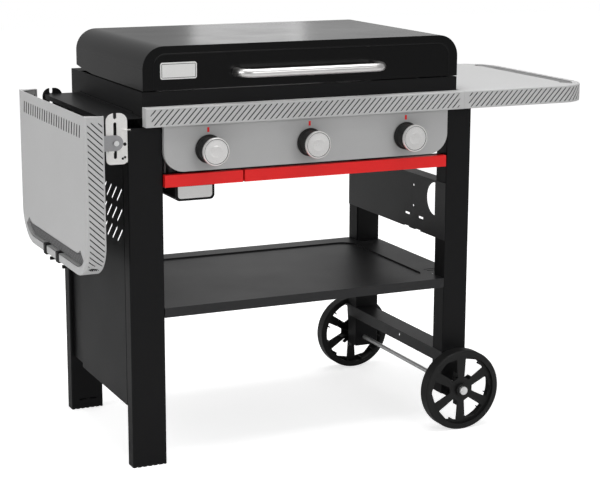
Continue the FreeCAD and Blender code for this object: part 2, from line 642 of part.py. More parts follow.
def control_panel():
    z0 = WORK_H - LEDGE_H - PANEL_H
    t = 1.5
    outer = plate_xz(PANEL_MID, PANEL_FACE, z0, 2 * PANEL_HALF, PANEL_H, -PANEL_FACE, PANEL_RAD, 0)
    inner = plate_xz(PANEL_MID, PANEL_FACE + t, z0 + t, 2 * (PANEL_HALF - t), PANEL_H, -PANEL_FACE, PANEL_RAD - t, 0)
    holes = [rod((x, PANEL_FACE - 1, KNOB_Z), (0, 1, 0), 11, 4) for x in KNOB_X]
    ends = (PANEL_MID - PANEL_HALF + t, PANEL_MID + PANEL_HALF - t - 20)
    feet = [box(x, x + 20, -t, 0, z0 + PANEL_RAD + 4, WORK_H - LEDGE_H) for x in ends]
    return cut(join(cut(outer, inner), *feet), *holes)


def front_ledge():
    z0 = WORK_H - LEDGE_H
    t = 1.6
    y1 = BOX_FRONT
    outer = box(LEDGE_LEFT, LEDGE_RIGHT, LEDGE_FRONT, y1, z0, WORK_H)
    edges = [e for e in outer.Edges if abs(e.Vertexes[0].Y - LEDGE_FRONT) < 0.1
             and abs(e.Vertexes[-1].Y - LEDGE_FRONT) < 0.1 and e.Vertexes[0].Z > z0 + 1
             and e.Vertexes[-1].Z > z0 + 1]
    outer = outer.makeFillet(3, edges)
    inner = box(LEDGE_LEFT + t, LEDGE_RIGHT - t, LEDGE_FRONT + t, y1 - t, z0 + t, WORK_H - t)
    under = box(LEDGE_LEFT + 20, LEDGE_RIGHT - 20, LEDGE_FRONT + 16, y1 - 6, z0 - 1, z0 + 3)
    return cut(outer, inner, under)


def red_rail():
    x0 = RAIL_SPLIT + SPLIT_GAP
    y1 = RAIL_FACE + RAIL_T
    outer = box(x0, RAIL_R, RAIL_FACE, y1, RAIL_TOP - RAIL_H, RAIL_TOP)
    inner = box(x0 + 1.6, RAIL_R - 1.6, RAIL_FACE + 1.6, y1 + 1, RAIL_TOP - RAIL_H + 1.6, RAIL_TOP - 1.6)
    return cut(outer, inner)


def tray_front():
    y1 = RAIL_FACE + RAIL_T - GAP
    outer = box(RAIL_L, RAIL_SPLIT, RAIL_FACE, y1, RAIL_TOP - RAIL_H, RAIL_TOP)
    inner = box(RAIL_L + 1.6, RAIL_SPLIT - 1.6, RAIL_FACE + 1.6, y1 - 1.6, RAIL_TOP - RAIL_H + 1.6, RAIL_TOP - 1.6)
    return cut(outer, inner)


TRAY_TOP = RAIL_TOP - RAIL_H - 1    # clear of the bar it slides under


def drip_tray():
    """Open pan hung below the red front, with side lips that ride on guides."""
    w = TRAY_X1 - TRAY_X0
    xm = (TRAY_X0 + TRAY_X1) / 2
    z0 = TRAY_TOP - TRAY_H
    y0 = RAIL_FACE + 3
    pan = plate_xz(xm, y0, z0, w, TRAY_H, TRAY_L, TRAY_RAD, 0)
    well = plate_xz(xm, y0 + TRAY_T, z0 + TRAY_T, w - 2 * TRAY_T, TRAY_H, TRAY_L - 2 * TRAY_T,
                    TRAY_RAD - TRAY_T, 0)
    lips = [box(TRAY_X0 - 9, TRAY_X0 + 0.5, 30, y0 + TRAY_L, TRAY_TOP - 4, TRAY_TOP - 2.5),
            box(TRAY_X1 - 0.5, TRAY_X1 + 9, 30, y0 + TRAY_L, TRAY_TOP - 4, TRAY_TOP - 2.5)]
    seat = box(TRAY_X0 + 8, TRAY_X1 - 8, y0, y0 + 9, TRAY_TOP, TRAY_TOP + 1)
    return join(cut(pan, well), seat, *lips)


def tray_face():
    w = TRAY_X1 - TRAY_X0 - 14
    xm = (TRAY_X0 + TRAY_X1) / 2
    y0 = RAIL_FACE + 3
    return plate_xz(xm, y0 - 1.5, TRAY_TOP - TRAY_H + 6, w, TRAY_H - 6, 1.5, TRAY_RAD - 4, 0)


def tray_guides():
    """C-shaped guides hung under the burner box, open towards the tray."""
    out = []
    z1 = FIRE_LOW
    y0 = RAIL_FACE + RAIL_T + 24
    y1 = 470
    for x, s in ((TRAY_X0 - 10.5, 1), (TRAY_X1 + 10.5, -1)):
        xs = sorted((x - s * 2, x))
        wall = box(xs[0], xs[1], y0, y1, TRAY_TOP - 8, z1)
        ls = sorted((x - s * 2, x + s * 7))
        low = box(ls[0], ls[1], y0, y1, TRAY_TOP - 6.5, TRAY_TOP - 4 - GAP)
        high = box(ls[0], ls[1], y0, y1, TRAY_TOP - 2.5 + GAP, TRAY_TOP)
        head = box(ls[0], ls[1], y0, y1, z1 - 2, z1)
        out.append(join(wall, low, high, head))
    return Part.makeCompound(out)


# ----------------------------------------------------------------------- lid
LID_LOW = BOX_TOP + LID_LIFT


def lid_shape(inset):
    face = plate_xz(0, inset, LID_LOW, 2 * (LID_HALF - inset), LID_H - inset, LID_BACK - 2 * inset,
                    0, LID_RAD - inset)
    return face


def lid():
    """Pressed hood: one profile carried front to back, flat ends, swage line."""
    outer = lid_shape(0)
    inner = lid_shape(LID_T)
    inner.translate(V(0, 0, -0.001))
    floor = box(-LID_HALF + LID_T, LID_HALF - LID_T, LID_T, LID_BACK - LID_T, LID_LOW - 1, LID_LOW + 1)
    rise = poly_yz([(LID_BACK - 140, LID_LOW - 1), (LID_BACK - 140, LID_LOW), (LID_BACK - 60, LID_LOW + 5),
                    (LID_BACK + 1, LID_LOW + 12), (LID_BACK + 1, LID_LOW - 1)], -LID_HALF - 1, 2 * LID_HALF + 2)
    groove_o = plate_xz(0, -0.5, LID_LOW - 1, 2 * (LID_HALF - 26), LID_H - 19, 1.3, 0, LID_RAD - 22)
    groove_i = plate_xz(0, -1, LID_LOW - 2, 2 * (LID_HALF - 29), LID_H - 21, 3, 0, LID_RAD - 25)
    shell = cut(outer, inner, floor, rise)
    return cut(shell, groove_o.cut(groove_i))


def lid_arms():
    """Hinge leaves screwed to the back of the lid, one eye each."""
    out = []
    for s in (-1, 1):
        x0 = s * HINGE_X - 12
        leaf = box(x0, x0 + 24, LID_BACK, LID_BACK + 3, HINGE_Z - 2, HINGE_Z + 46)
        neck = box(x0, x0 + 24, LID_BACK, HINGE_Y, HINGE_Z - 2, HINGE_Z + 9)
        eye = rod((x0, HINGE_Y, HINGE_Z), (1, 0, 0), 9, 24)
        hole = rod((x0 - 1, HINGE_Y, HINGE_Z), (1, 0, 0), HINGE_R + RUN, 26)
        heads = [rod((x0 + 12, LID_BACK + 3, HINGE_Z + z), (0, 1, 0), 4, 2) for z in (20, 36)]
        out.append(cut(join(leaf, neck, eye, *heads), hole))
    return Part.makeCompound(out)


def hinge_brackets():
    """Forks on the back of the cook box that hold the lid pins."""
    out = []
    for s in (-1, 1):
        xc = s * HINGE_X
        cheeks = []
        for x0 in (xc - 15.5, xc + 12.5):
            tall = box(x0, x0 + 3, HINGE_Y - 9, BOX_BACK + 3, BOX_TOP - 40, HINGE_Z)
            eye = rod((x0, HINGE_Y, HINGE_Z), (1, 0, 0), 9, 3)
            cheeks.append(join(tall, eye))
        low = box(xc - 60, xc + 60, BOX_BACK, BOX_BACK + 3, BOX_TOP - 60, BOX_TOP - 4)
        fork = join(low, *cheeks)
        inside = box(xc - 12.5, xc + 12.5, HINGE_Y - 12, BOX_BACK, BOX_TOP - 45, BOX_TOP + 60)
        shell = box(xc - 40, xc + 40, BOX_BACK - BOX_WALL, BOX_BACK, BOX_TOP - 80, BOX_TOP)
        under = box(xc - 40, xc + 40, HINGE_Y - 12, BOX_BACK - BOX_WALL, BOX_TOP - 45, BOX_TOP - 2)
        hole = rod((xc - 20, HINGE_Y, HINGE_Z), (1, 0, 0), HINGE_R, 40)
        fork = cut(fork, inside, shell, under, hole)
        heads = [rod((xc + dx, BOX_BACK + 3, BOX_TOP - 32), (0, 1, 0), 5, 2.5) for dx in (-45, 45)]
        out.append(join(fork, *heads))
    return Part.makeCompound(out)


def hinge_pins():
    return Part.makeCompound([rod((s * HINGE_X - 19, HINGE_Y, HINGE_Z), (1, 0, 0), HINGE_R, 38)
                              for s in (-1, 1)])


def lid_handle():
    """Bent tube: straight grip, swept ends standing on the lid."""
    y = -HANDLE_OUT
    b = HANDLE_BEND
    x = HANDLE_HALF
    mid = b * (1 - math.cos(math.pi / 4))
    dip = b - mid
    path = Part.Wire([
        Part.LineSegment(V(-x, 0, HANDLE_Z), V(-x, y + b, HANDLE_Z)).toShape(),
        Part.Arc(V(-x, y + b, HANDLE_Z), V(-x + mid, y + b - dip, HANDLE_Z), V(-x + b, y, HANDLE_Z)).toShape(),
        Part.LineSegment(V(-x + b, y, HANDLE_Z), V(x - b, y, HANDLE_Z)).toShape(),
        Part.Arc(V(x - b, y, HANDLE_Z), V(x - mid, y + b - dip, HANDLE_Z), V(x, y + b, HANDLE_Z)).toShape(),
        Part.LineSegment(V(x, y + b, HANDLE_Z), V(x, 0, HANDLE_Z)).toShape()])
    ring = Part.Wire([Part.makeCircle(HANDLE_R, V(-x, 0, HANDLE_Z), V(0, -1, 0))])
    tube = path.makePipeShell([ring], True, False)
    return tube


def lid_badge():
    z0, z1 = WORK_H + 65, WORK_H + 106
    plate = box(-394, -299, -1.4, 0, z0, z1)
    dish = box(-391, -302, -2, -0.8, z0 + 3, z1 - 3)
    return cut(plate, dish)


# ------------------------------------------------------------------- shelves
def spread(a, b, n=12):
    return [math.radians(a + (b - a) * i / n) for i in range(n + 1)]


def plan_face(inset, turn):
    """Oval-cornered end of the shelf, inset all round: points from front to back."""
    rx, ry = CORNER_X - inset, CORNER_Y - inset
    xc, y_front, y_back = SHELF_OUT - CORNER_X, SHELF_F + CORNER_Y, SHELF_B - CORNER_Y
    front = [(xc + rx * math.cos(a), y_front - ry * math.sin(a)) for a in spread(turn, 0)]
    back = [(xc + rx * math.cos(a), y_back + ry * math.sin(a)) for a in spread(0, turn)]
    return front, back


def smooth_edge(points, z):
    curve = Part.BSplineCurve()
    curve.interpolate([V(x, y, z) for x, y in points])
    return curve.toShape()


def closed_face(runs, z):
    """Face at height z from runs of points; a run of three or more is a curve."""
    edges = []
    for i, run in enumerate(runs):
        if len(run) > 2:
            edges.append(smooth_edge(run, z))
        start, end = V(*run[-1], z), V(*runs[(i + 1) % len(runs)][0], z)
        if start.distanceToPoint(end) > 0.001:
            edges.append(Part.LineSegment(start, end).toShape())
    return Part.Face(Part.Wire(edges))


def shelf_plan(inset, x_in, z0, depth):
    """Shelf outline with oval outer corners, pushed up by depth from z0."""
    front, back = plan_face(inset, 90)
    ends = [[(x_in, SHELF_B - inset)], [(x_in, SHELF_F + inset)]]
    return closed_face([front, back] + ends, z0).extrude(V(0, 0, depth))


def grip_plan(grow, z0, depth):
    """Finger grip: a strip along the handle bar that turns into the corners."""
    out_front, out_back = plan_face(BAR_W - grow, SLOT_TURN)
    in_front, in_back = plan_face(BAR_W + SLOT_W + grow, SLOT_TURN)
    if grow:
        out_front = [(x, y - grow) for x, y in out_front[:1]] + out_front[1:]
        out_back = out_back[:-1] + [(x, y + grow) for x, y in out_back[-1:]]
    runs = [out_front, out_back, in_back[::-1], in_front[::-1]]
    return closed_face(runs, z0).extrude(V(0, 0, depth))


def shelf_body():
    """Side shelf in its raised place on the right: tray, skirts, handle bar."""
    z0 = WORK_H - SHELF_H
    t = SHELF_T
    body = cut(shelf_plan(0, SHELF_IN, z0, SHELF_H), shelf_plan(t, SHELF_IN - 5, z0 - 1, SHELF_H - t + 1))
    under = cut(shelf_plan(t / 2, SHELF_IN, z0, t), shelf_plan(LIP_W, SHELF_IN - 5, z0 - 1, t + 2))
    bar_floor = cut(shelf_plan(t / 2, SHELF_OUT - CORNER_X, z0, t),
                    shelf_plan(BAR_W, SHELF_OUT - CORNER_X - 5, z0 - 1, t + 2))
    collar = cut(grip_plan(t, z0, SHELF_H - t), grip_plan(0, z0 - 1, SHELF_H))
    plate = grip_plan(t / 2, WORK_H - GRIP_DEEP - t, t)
    strip = cut(shelf_plan(BAR_W, SHELF_IN, z0, SHELF_H), shelf_plan(BAR_W + GRIP_GAP, SHELF_IN - 5, z0 - 1, SHELF_H + 2))
    body = cut(body, grip_plan(0, WORK_H - t - 1, t + 2))
    body = join(body, under, bar_floor, collar, cut(plate, strip))
    louvres = []
    span = (SHELF_B - SHELF_F - 96) / (LOUVRES - 1)
    for i in range(LOUVRES):
        y = SHELF_F + 48 + i * span
        s = join(box(-11, 11, -1.6, 1.6, -4, 2), rod((11, 0, -4), (0, 0, 1), 1.6, 6),
                 rod((-11, 0, -4), (0, 0, 1), 1.6, 6))
        s.rotate(V(0, 0, 0), V(0, 0, 1), 10)
        s.translate(V(SHELF_IN + 40, y, WORK_H))
        louvres.append(s)
    return body, louvres


def mirror_x(shape):
    return shape.mirror(V(0, 0, 0), V(1, 0, 0))


def fold_left(shape):
    """Carry a shape from the raised left place to the folded one."""
    s = shape.copy()
    s.rotate(V(-PIVOT_X, 0, PIVOT_Z), V(0, 1, 0), -90)
    return s


def arms():
    """Shelf arms: straight straps whose round ends turn on the pivot rod."""
    out = []
    z_top = WORK_H - SHELF_T
    drop = z_top - (WORK_H - PIVOT_DROP)
    for y in (-GAP - ARM_T - 1.2, BRACKET_BACK + GAP + 1.2):
        x = -PIVOT_X
        zp = WORK_H - PIVOT_DROP
        strap = box(x - ARM_R, x + ARM_R, y, y + ARM_T, zp, zp + drop)
        eye = rod((x, y, zp), (0, 1, 0), ARM_R, ARM_T)
        foot = box(x - ARM_R, x + ARM_R, y, y + 14, z_top - 2, z_top)
        hole = rod((x, y - 1, zp), (0, 1, 0), ROD_R + RUN, ARM_T + 2)
        out.append(cut(join(strap, eye, foot), hole))
    return out


BRACKET_Y = (0.0, BRACKET_BACK - BRACKET_T)


def bracket_plate(y):
    """End plate: rounded top, open notch, long guide slot for the rod."""
    w = BRACKET_OUT - LEG_HALF
    xm = -(BRACKET_OUT + LEG_HALF) / 2
    plate = plate_xz(xm, y, BRACKET_LOW, w, BRACKET_TOP - BRACKET_LOW, BRACKET_T, 12, 21)
    x = -PIVOT_X
    notch = join(box(x - 4.2, x + 4.2, y - 1, y + 5, BRACKET_TOP - 10, BRACKET_TOP + 1),
                 rod((x, y - 1, BRACKET_TOP - 10), (0, 1, 0), 4.2, 6))
    lo, hi = GUIDE_LOW, GUIDE_TOP
    guide = join(box(x - ROD_R - RUN, x + ROD_R + RUN, y - 1, y + 5, lo, hi),
                 rod((x, y - 1, lo), (0, 1, 0), ROD_R + RUN, 6),
                 rod((x, y - 1, hi), (0, 1, 0), ROD_R + RUN, 6))
    return cut(plate, notch, guide)


def shelf_bracket():
    """Channel and two end plates, welded up and screwed to the left legs."""
    y0, y1 = BRACKET_Y[0], BRACKET_Y[1] + BRACKET_T
    xo = -BRACKET_OUT + 4
    top = box(xo, BOX_MID - BOX_HALF, y0 + BRACKET_T, y1 - BRACKET_T, BEAM_TOP - 2, BEAM_TOP)
    out = box(xo, xo + 2, y0 + BRACKET_T, y1 - BRACKET_T, BEAM_LOW + 14, BEAM_TOP)
    tabs = [box(-LEG_HALF - 2, -LEG_HALF, y, y + 26, BRACKET_LOW + 6, LEG_TOP - 4)
            for y in (y0, y1 - 26)]
    stops = [box(-PIVOT_X - 18, -PIVOT_X - 4, y0 - 4, y0, PIVOT_Z - ARM_R - 4.3, PIVOT_Z - ARM_R - GAP),
             box(-PIVOT_X - 18, -PIVOT_X - 4, y1, y1 + 4, PIVOT_Z - ARM_R - 4.3, PIVOT_Z - ARM_R - GAP)]
    flange = join(box(-LEG_HALF - 17, -LEG_HALF - 1, y0 - 1, y0, BRACKET_LOW + 4, LEG_TOP),
                  box(-LEG_HALF - 11.5, -LEG_HALF + 6, y0 - 9, y0 - GAP, LEG_TOP - 1.5, LEG_TOP))
    holes = [bolt_hole(-LEG_HALF - 1, y, z, (1, 0, 0), SCREW_R, 8) for y in SCREW_Y for z in SCREW_Z]
    return cut(join(bracket_plate(y0), bracket_plate(BRACKET_Y[1]), top, out, flange, *tabs, *stops), *holes)


def bracket_screws():
    out = []
    for y in SCREW_Y:
        for z in SCREW_Z:
            out.append(bolt((-LEG_HALF - 2, y, z), (1, 0, 0), 5.5, 3, SCREW_R, 6))
    return Part.makeCompound(out)


def pivot_rod():
    y0 = -GAP - ARM_T - 1.2 - 4
    y1 = BRACKET_BACK + GAP + 1.2 + ARM_T + 4
    x = -PIVOT_X
    body = rod((x, y0, PIVOT_Z), (0, 1, 0), ROD_R, y1 - y0)
    heads = [rod((x, y0 - 3, PIVOT_Z), (0, 1, 0), 6.5, 3), rod((x, y1, PIVOT_Z), (0, 1, 0), 6.5, 3)]
    return join(body, *heads)


def right_supports():
    """Fixed arms under the right shelf, screwed to the tops of the legs."""
    out = []
    z1 = WORK_H - SHELF_T
    x0 = SHELF_IN + 0.5
    for y in (12.0, LEG_REAR + 20.0):
        web = poly_xz([(x0, LEG_TOP), (x0, z1), (SHELF_OUT - 110, z1),
                       (SHELF_OUT - 110, z1 - 14), (RX1 + 90, WORK_H - SHELF_H + 6),
                       (RX1, WORK_H - SHELF_H + 6), (RX1, LEG_TOP)], y, 3)
        cap = box(x0, SHELF_OUT - 110, y, y + 13, z1 - 2, z1)
        foot = box(x0, RX1, y, y + 13, LEG_TOP, LEG_TOP + 2)
        out.append(join(web, cap, foot))
    return Part.makeCompound(out)


def hook(y):
    """Clip-on tool hook round the handle bar, peg on the outside."""
    z0, z1 = WORK_H - SHELF_H, WORK_H
    x0, x1 = SHELF_OUT - BAR_W, SHELF_OUT
    c = 0.08
    t = HOOK_T
    outer = box(x0 - c - t, x1 + c + t, y, y + HOOK_W, z0 - c - t, z1 + c + t)
    edges = [e for e in outer.Edges if abs(e.Vertexes[0].Y - e.Vertexes[-1].Y) > 1]
    outer = outer.makeFillet(3.5, edges)
    inner = box(x0 - c, x1 + c, y - 1, y + HOOK_W + 1, z0 - c, z1 + c)
    mouth = box(x0 - c - t - 1, x0 + 4, y - 1, y + HOOK_W + 1, z0 - 6, z1 - 22)
    clip = cut(outer, inner, mouth)
    arm = box(x1 + c + 0.5, x1 + c + 20, y + 5, y + HOOK_W - 5, z0 + 5, z0 + 11)
    peg = box(x1 + c + 12, x1 + c + 20, y + 5, y + HOOK_W - 5, z0 + 5, z1 - 11)
    return join(clip, arm, peg)


# ------------------------------------------------------------------ assembly
def build():
    p = {}
    p.update(legs())
    p["foot_caps"] = foot_caps()
    p["side_panel_left"] = side_panel()
    p["cross_panel_right"] = cross_panel()
    p["crossbar_right"] = crossbar()
    p["bottom_shelf"] = bottom_shelf()
    p["shelf_bolts"] = shelf_bolts()
    p["front_crossbar"] = front_crossbar()
    p["rear_crossbar"] = rear_crossbar()
    p["wheel_front"] = wheel(WY_FRONT, -1)
    p["wheel_rear"] = wheel(WY_REAR, 1)
    p["axle"] = axle()
    p["axle_nuts"] = axle_nuts()
    p["cook_box"] = cook_box()
    p["burner_box"] = burner_box()
    p["lid_bumpers"] = bumpers()
    p["griddle_plate"] = griddle_plate()
    p["grease_chute"] = grease_chute()
    for i, x in enumerate(KNOB_X, 1):
        p["burner_%d" % i] = burner(x)
        p["valve_%d" % i] = valve(x)
        p["valve_stem_%d" % i] = valve_stem(x)
        p["knob_%d" % i] = knob(x)
        p["knob_cap_%d" % i] = knob_cap(x)
    p["manifold"] = manifold()
    p["gas_inlet"] = gas_inlet()
    p["control_panel"] = control_panel()
    p["front_ledge"] = front_ledge()
    p["red_rail"] = red_rail()
    p["tray_front"] = tray_front()
    p["drip_tray"] = drip_tray()
    p["tray_face"] = tray_face()
    p["tray_guides"] = tray_guides()
    p["lid"] = lid()
    p["lid_arms"] = lid_arms()
    p["lid_handle"] = lid_handle()
    p["lid_badge"] = lid_badge()
    p["hinge_brackets"] = hinge_brackets()
    p["hinge_pins"] = hinge_pins()
    for name in ("lid", "lid_arms", "hinge_brackets", "hinge_pins"):
        p[name].translate(V(BOX_MID, 0, 0))
    p["lid_handle"].translate(V(HANDLE_MID, 0, 0))
    body, louvres = shelf_body()
    p["shelf_right"] = body
    p["right_supports"] = right_supports()
    p["shelf_left"] = fold_left(mirror_x(cut(body, *louvres)))
    p["shelf_arms"] = Part.makeCompound([fold_left(a) for a in arms()])
    p["pivot_rod"] = pivot_rod()
    p["shelf_bracket"] = shelf_bracket()
    p["bracket_screws"] = bracket_screws()
    for i, y in enumerate(HOOK_Y, 1):
        p["tool_hook_%d" % i] = fold_left(mirror_x(hook(y)))
    return p


def main():
    os.makedirs("parts", exist_ok=True)
    parts = build()
    whole = Part.makeCompound(list(parts.values())).optimalBoundingBox(False, False)
    shift = V(-(whole.XMin + whole.XMax) / 2, -(whole.YMin + whole.YMax) / 2, 0)
    print("shift", round(shift.x, 4), round(shift.y, 4), round(shift.z, 4))
    for name, shape in parts.items():
        shape = shape.copy()
        shape.translate(shift)
        shape.exportStep("parts/%s.step" % name)
    print(len(parts), "pieces", [round(v, 2) for v in (whole.XLength, whole.YLength, whole.ZLength)])


main()
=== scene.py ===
import math
import bpy
import numpy as np
from mathutils import Matrix, Vector
from mathutils.geometry import delaunay_2d_cdt


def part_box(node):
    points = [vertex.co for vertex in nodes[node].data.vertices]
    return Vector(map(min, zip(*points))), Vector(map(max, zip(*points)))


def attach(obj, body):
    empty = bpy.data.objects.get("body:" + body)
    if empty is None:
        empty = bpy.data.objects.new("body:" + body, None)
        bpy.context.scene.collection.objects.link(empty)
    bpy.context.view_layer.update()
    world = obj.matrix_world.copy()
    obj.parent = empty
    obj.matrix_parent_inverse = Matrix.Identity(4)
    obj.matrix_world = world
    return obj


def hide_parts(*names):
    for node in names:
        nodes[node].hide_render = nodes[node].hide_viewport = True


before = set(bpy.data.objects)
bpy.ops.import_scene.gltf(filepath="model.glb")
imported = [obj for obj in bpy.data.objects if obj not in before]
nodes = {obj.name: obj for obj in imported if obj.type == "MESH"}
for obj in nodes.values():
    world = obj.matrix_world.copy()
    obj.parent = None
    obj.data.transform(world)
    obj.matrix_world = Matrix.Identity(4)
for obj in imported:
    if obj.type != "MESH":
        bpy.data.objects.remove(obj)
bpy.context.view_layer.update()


# ------------------------------------------------------------ camera, light, floor
# A plain pale floor in a white room, with a large soft box overhead, one at the left,
# one in front, and a long low one behind that draws the sheen along the lid's top.
scene = bpy.context.scene
scene.view_settings.view_transform = "Standard"

camera_data = bpy.data.cameras.new("camera")
camera_data.lens = 99.99
camera_data.sensor_width = 36.0
camera_data.clip_end = 60.0
camera = bpy.data.objects.new("camera", camera_data)
scene.collection.objects.link(camera)
YAW, PITCH, ROLL = math.radians(24.685), math.radians(12.370), math.radians(0.215)
camera.matrix_world = (Matrix.Translation((-1.8895, -4.0739, 1.4549))
                       @ Matrix.Rotation(-YAW, 4, "Z")
                       @ Matrix.Rotation(math.pi / 2 - PITCH, 4, "X")
                       @ Matrix.Rotation(ROLL, 4, "Z"))
scene.camera = camera


def soft_box(name, place, aim, width, height, power):
    """A rectangle light at place that faces the point aim."""
    data = bpy.data.lights.new(name, "AREA")
    data.shape = "RECTANGLE"
    data.size, data.size_y, data.energy = width, height, power
    lamp = bpy.data.objects.new(name, data)
    scene.collection.objects.link(lamp)
    lamp.location = place
    lamp.rotation_euler = (Vector(aim) - Vector(place)).to_track_quat("-Z", "Y").to_euler()


soft_box("overhead", (0.0, -0.2, 3.2), (0, 0, 0.6), 2.6, 2.0, 56)
soft_box("left_box", (-3.4, -0.4, 2.0), (0, 0, 0.7), 1.6, 1.8, 26)
soft_box("front_box", (0.6, -4.6, 2.6), (0, 0, 0.6), 2.4, 1.6, 40)
soft_box("back_strip", (1.60, 4.2, 1.75), (-0.1, 0, 1.06), 0.6, 0.7, 1.5)
soft_box("back_glow", (2.45, 4.2, 1.75), (0.1, 0, 1.06), 1.1, 0.7, 0.9)

world = bpy.data.worlds.new("surround")
scene.world = world
world.use_nodes = True
wn, wlink = world.node_tree.nodes, world.node_tree.links.new
wall = wn["Background"]
wall.inputs["Color"].default_value = (1, 1, 1, 1)
wall.inputs["Strength"].default_value = 0.40
page = wn.new("ShaderNodeBackground")
page.inputs["Color"].default_value = (1, 1, 1, 1)
page.inputs["Strength"].default_value = 1.0
ray, pick = wn.new("ShaderNodeLightPath"), wn.new("ShaderNodeMixShader")
wlink(ray.outputs["Is Camera Ray"], pick.inputs["Fac"])
wlink(wall.outputs["Background"], pick.inputs[1])
wlink(page.outputs["Background"], pick.inputs[2])
wlink(pick.outputs["Shader"], wn["World Output"].inputs["Surface"])

floor_mesh = bpy.data.meshes.new("floor")
floor_mesh.from_pydata([(-9, -9, 0), (9, -9, 0), (9, 12, 0), (-9, 12, 0)], [], [(0, 1, 2, 3)])
floor = bpy.data.objects.new("floor", floor_mesh)
scene.collection.objects.link(floor)
pale = bpy.data.materials.new("pale_floor")
pale.use_nodes = True
pale_shader = pale.node_tree.nodes["Principled BSDF"]
pale_shader.inputs["Base Color"].default_value = (0.90, 0.90, 0.90, 1)
pale_shader.inputs["Roughness"].default_value = 0.7
pale_shader.inputs["Specular IOR Level"].default_value = 0.1
pale_shader.inputs["Emission Color"].default_value = (1, 1, 1, 1)
seen, lift = pale.node_tree.nodes.new("ShaderNodeLightPath"), pale.node_tree.nodes.new("ShaderNodeMath")
lift.operation = "MULTIPLY"
lift.inputs[1].default_value = 0.66
pale.node_tree.links.new(seen.outputs["Is Camera Ray"], lift.inputs[0])
pale.node_tree.links.new(lift.outputs[0], pale_shader.inputs["Emission Strength"])
floor_mesh.materials.append(pale)


# ---------------------------------------------------------------- legs and bars
# Four box legs folded from sheet steel, tied by two bars and a louvred side panel, all in
# satin black powder coat; moulded caps close the left legs. Coats and metals share one
# grain: fine noise for texture, broad noise for the uneven shade of the spray gun.
def make_grain():
    """The shared grain: color times (1 + Shade x (fine noise - 1/2) + Uneven x (broad noise
    - 1/2)); the roughness moves with the broad noise, and the height is the fine noise."""
    group = bpy.data.node_groups.new("grain", "ShaderNodeTree")
    face = group.interface
    for title, kind, value in (("Color", "NodeSocketColor", (0.5, 0.5, 0.5, 1)),
                               ("Roughness", "NodeSocketFloat", 0.5),
                               ("Scale", "NodeSocketFloat", 900.0),
                               ("Shade", "NodeSocketFloat", 0.1),
                               ("Uneven", "NodeSocketFloat", 0.1)):
        face.new_socket(title, in_out="INPUT", socket_type=kind).default_value = value
    face.new_socket("Color", in_out="OUTPUT", socket_type="NodeSocketColor")
    face.new_socket("Roughness", in_out="OUTPUT", socket_type="NodeSocketFloat")
    face.new_socket("Height", in_out="OUTPUT", socket_type="NodeSocketFloat")
    n, link = group.nodes, group.links.new
    given, out = n.new("NodeGroupInput"), n.new("NodeGroupOutput")
    where = n.new("ShaderNodeTexCoord")
    fine, broad = n.new("ShaderNodeTexNoise"), n.new("ShaderNodeTexNoise")
    fine.inputs["Detail"].default_value = 3.0
    broad.inputs["Scale"].default_value = 7.0
    broad.inputs["Detail"].default_value = 4.0
    link(where.outputs["Object"], fine.inputs["Vector"])
    link(where.outputs["Object"], broad.inputs["Vector"])
    link(given.outputs["Scale"], fine.inputs["Scale"])

    def centred(source, amount):
        """(source - 1/2) x amount."""
        less = n.new("ShaderNodeMath")
        less.operation = "SUBTRACT"
        less.inputs[1].default_value = 0.5
        link(source, less.inputs[0])
        times = n.new("ShaderNodeMath")
        times.operation = "MULTIPLY"
        link(less.outputs[0], times.inputs[0])
        link(amount, times.inputs[1])
        return times.outputs[0]

    speck = centred(fine.outputs["Fac"], given.outputs["Shade"])
    cloud = centred(broad.outputs["Fac"], given.outputs["Uneven"])
    total = n.new("ShaderNodeMath")
    link(speck, total.inputs[0])
    link(cloud, total.inputs[1])
    gain = n.new("ShaderNodeMath")
    gain.inputs[1].default_value = 1.0
    link(total.outputs[0], gain.inputs[0])
    shade = n.new("ShaderNodeVectorMath")
    shade.operation = "SCALE"
    link(given.outputs["Color"], shade.inputs[0])
    link(gain.outputs[0], shade.inputs["Scale"])
    link(shade.outputs[0], out.inputs["Color"])
    rough = n.new("ShaderNodeMath")
    link(given.outputs["Roughness"], rough.inputs[0])
    link(cloud, rough.inputs[1])
    link(rough.outputs[0], out.inputs["Roughness"])
    link(fine.outputs["Fac"], out.inputs["Height"])
    return group


GRAIN = make_grain()


def finish(name, color, rough, metal=0.0, scale=900.0, shade=0.2, uneven=0.08, bump=0.0002,
           specular=0.5):
    """A painted, plated or moulded surface: its color and roughness pass through the grain,
    and the fine noise is its relief, bump metres deep."""
    m = bpy.data.materials.new(name)
    m.use_nodes = True
    n, link = m.node_tree.nodes, m.node_tree.links.new
    shader = n["Principled BSDF"]
    grain = n.new("ShaderNodeGroup")
    grain.node_tree = GRAIN
    grain.inputs["Color"].default_value = (*color, 1)
    grain.inputs["Roughness"].default_value = rough
    grain.inputs["Scale"].default_value = scale
    grain.inputs["Shade"].default_value = shade
    grain.inputs["Uneven"].default_value = uneven
    relief = n.new("ShaderNodeBump")
    relief.inputs["Distance"].default_value = bump
    relief.inputs["Strength"].default_value = 0.6
    link(grain.outputs["Color"], shader.inputs["Base Color"])
    link(grain.outputs["Roughness"], shader.inputs["Roughness"])
    link(grain.outputs["Height"], relief.inputs["Height"])
    link(relief.outputs["Normal"], shader.inputs["Normal"])
    shader.inputs["Metallic"].default_value = metal
    shader.inputs["Specular IOR Level"].default_value = specular
    return m


def coat(look, *names):
    """Gives each named piece of the frame the one look."""
    for name in names:
        mesh = nodes[name].data
        mesh.materials.clear()
        mesh.materials.append(look)


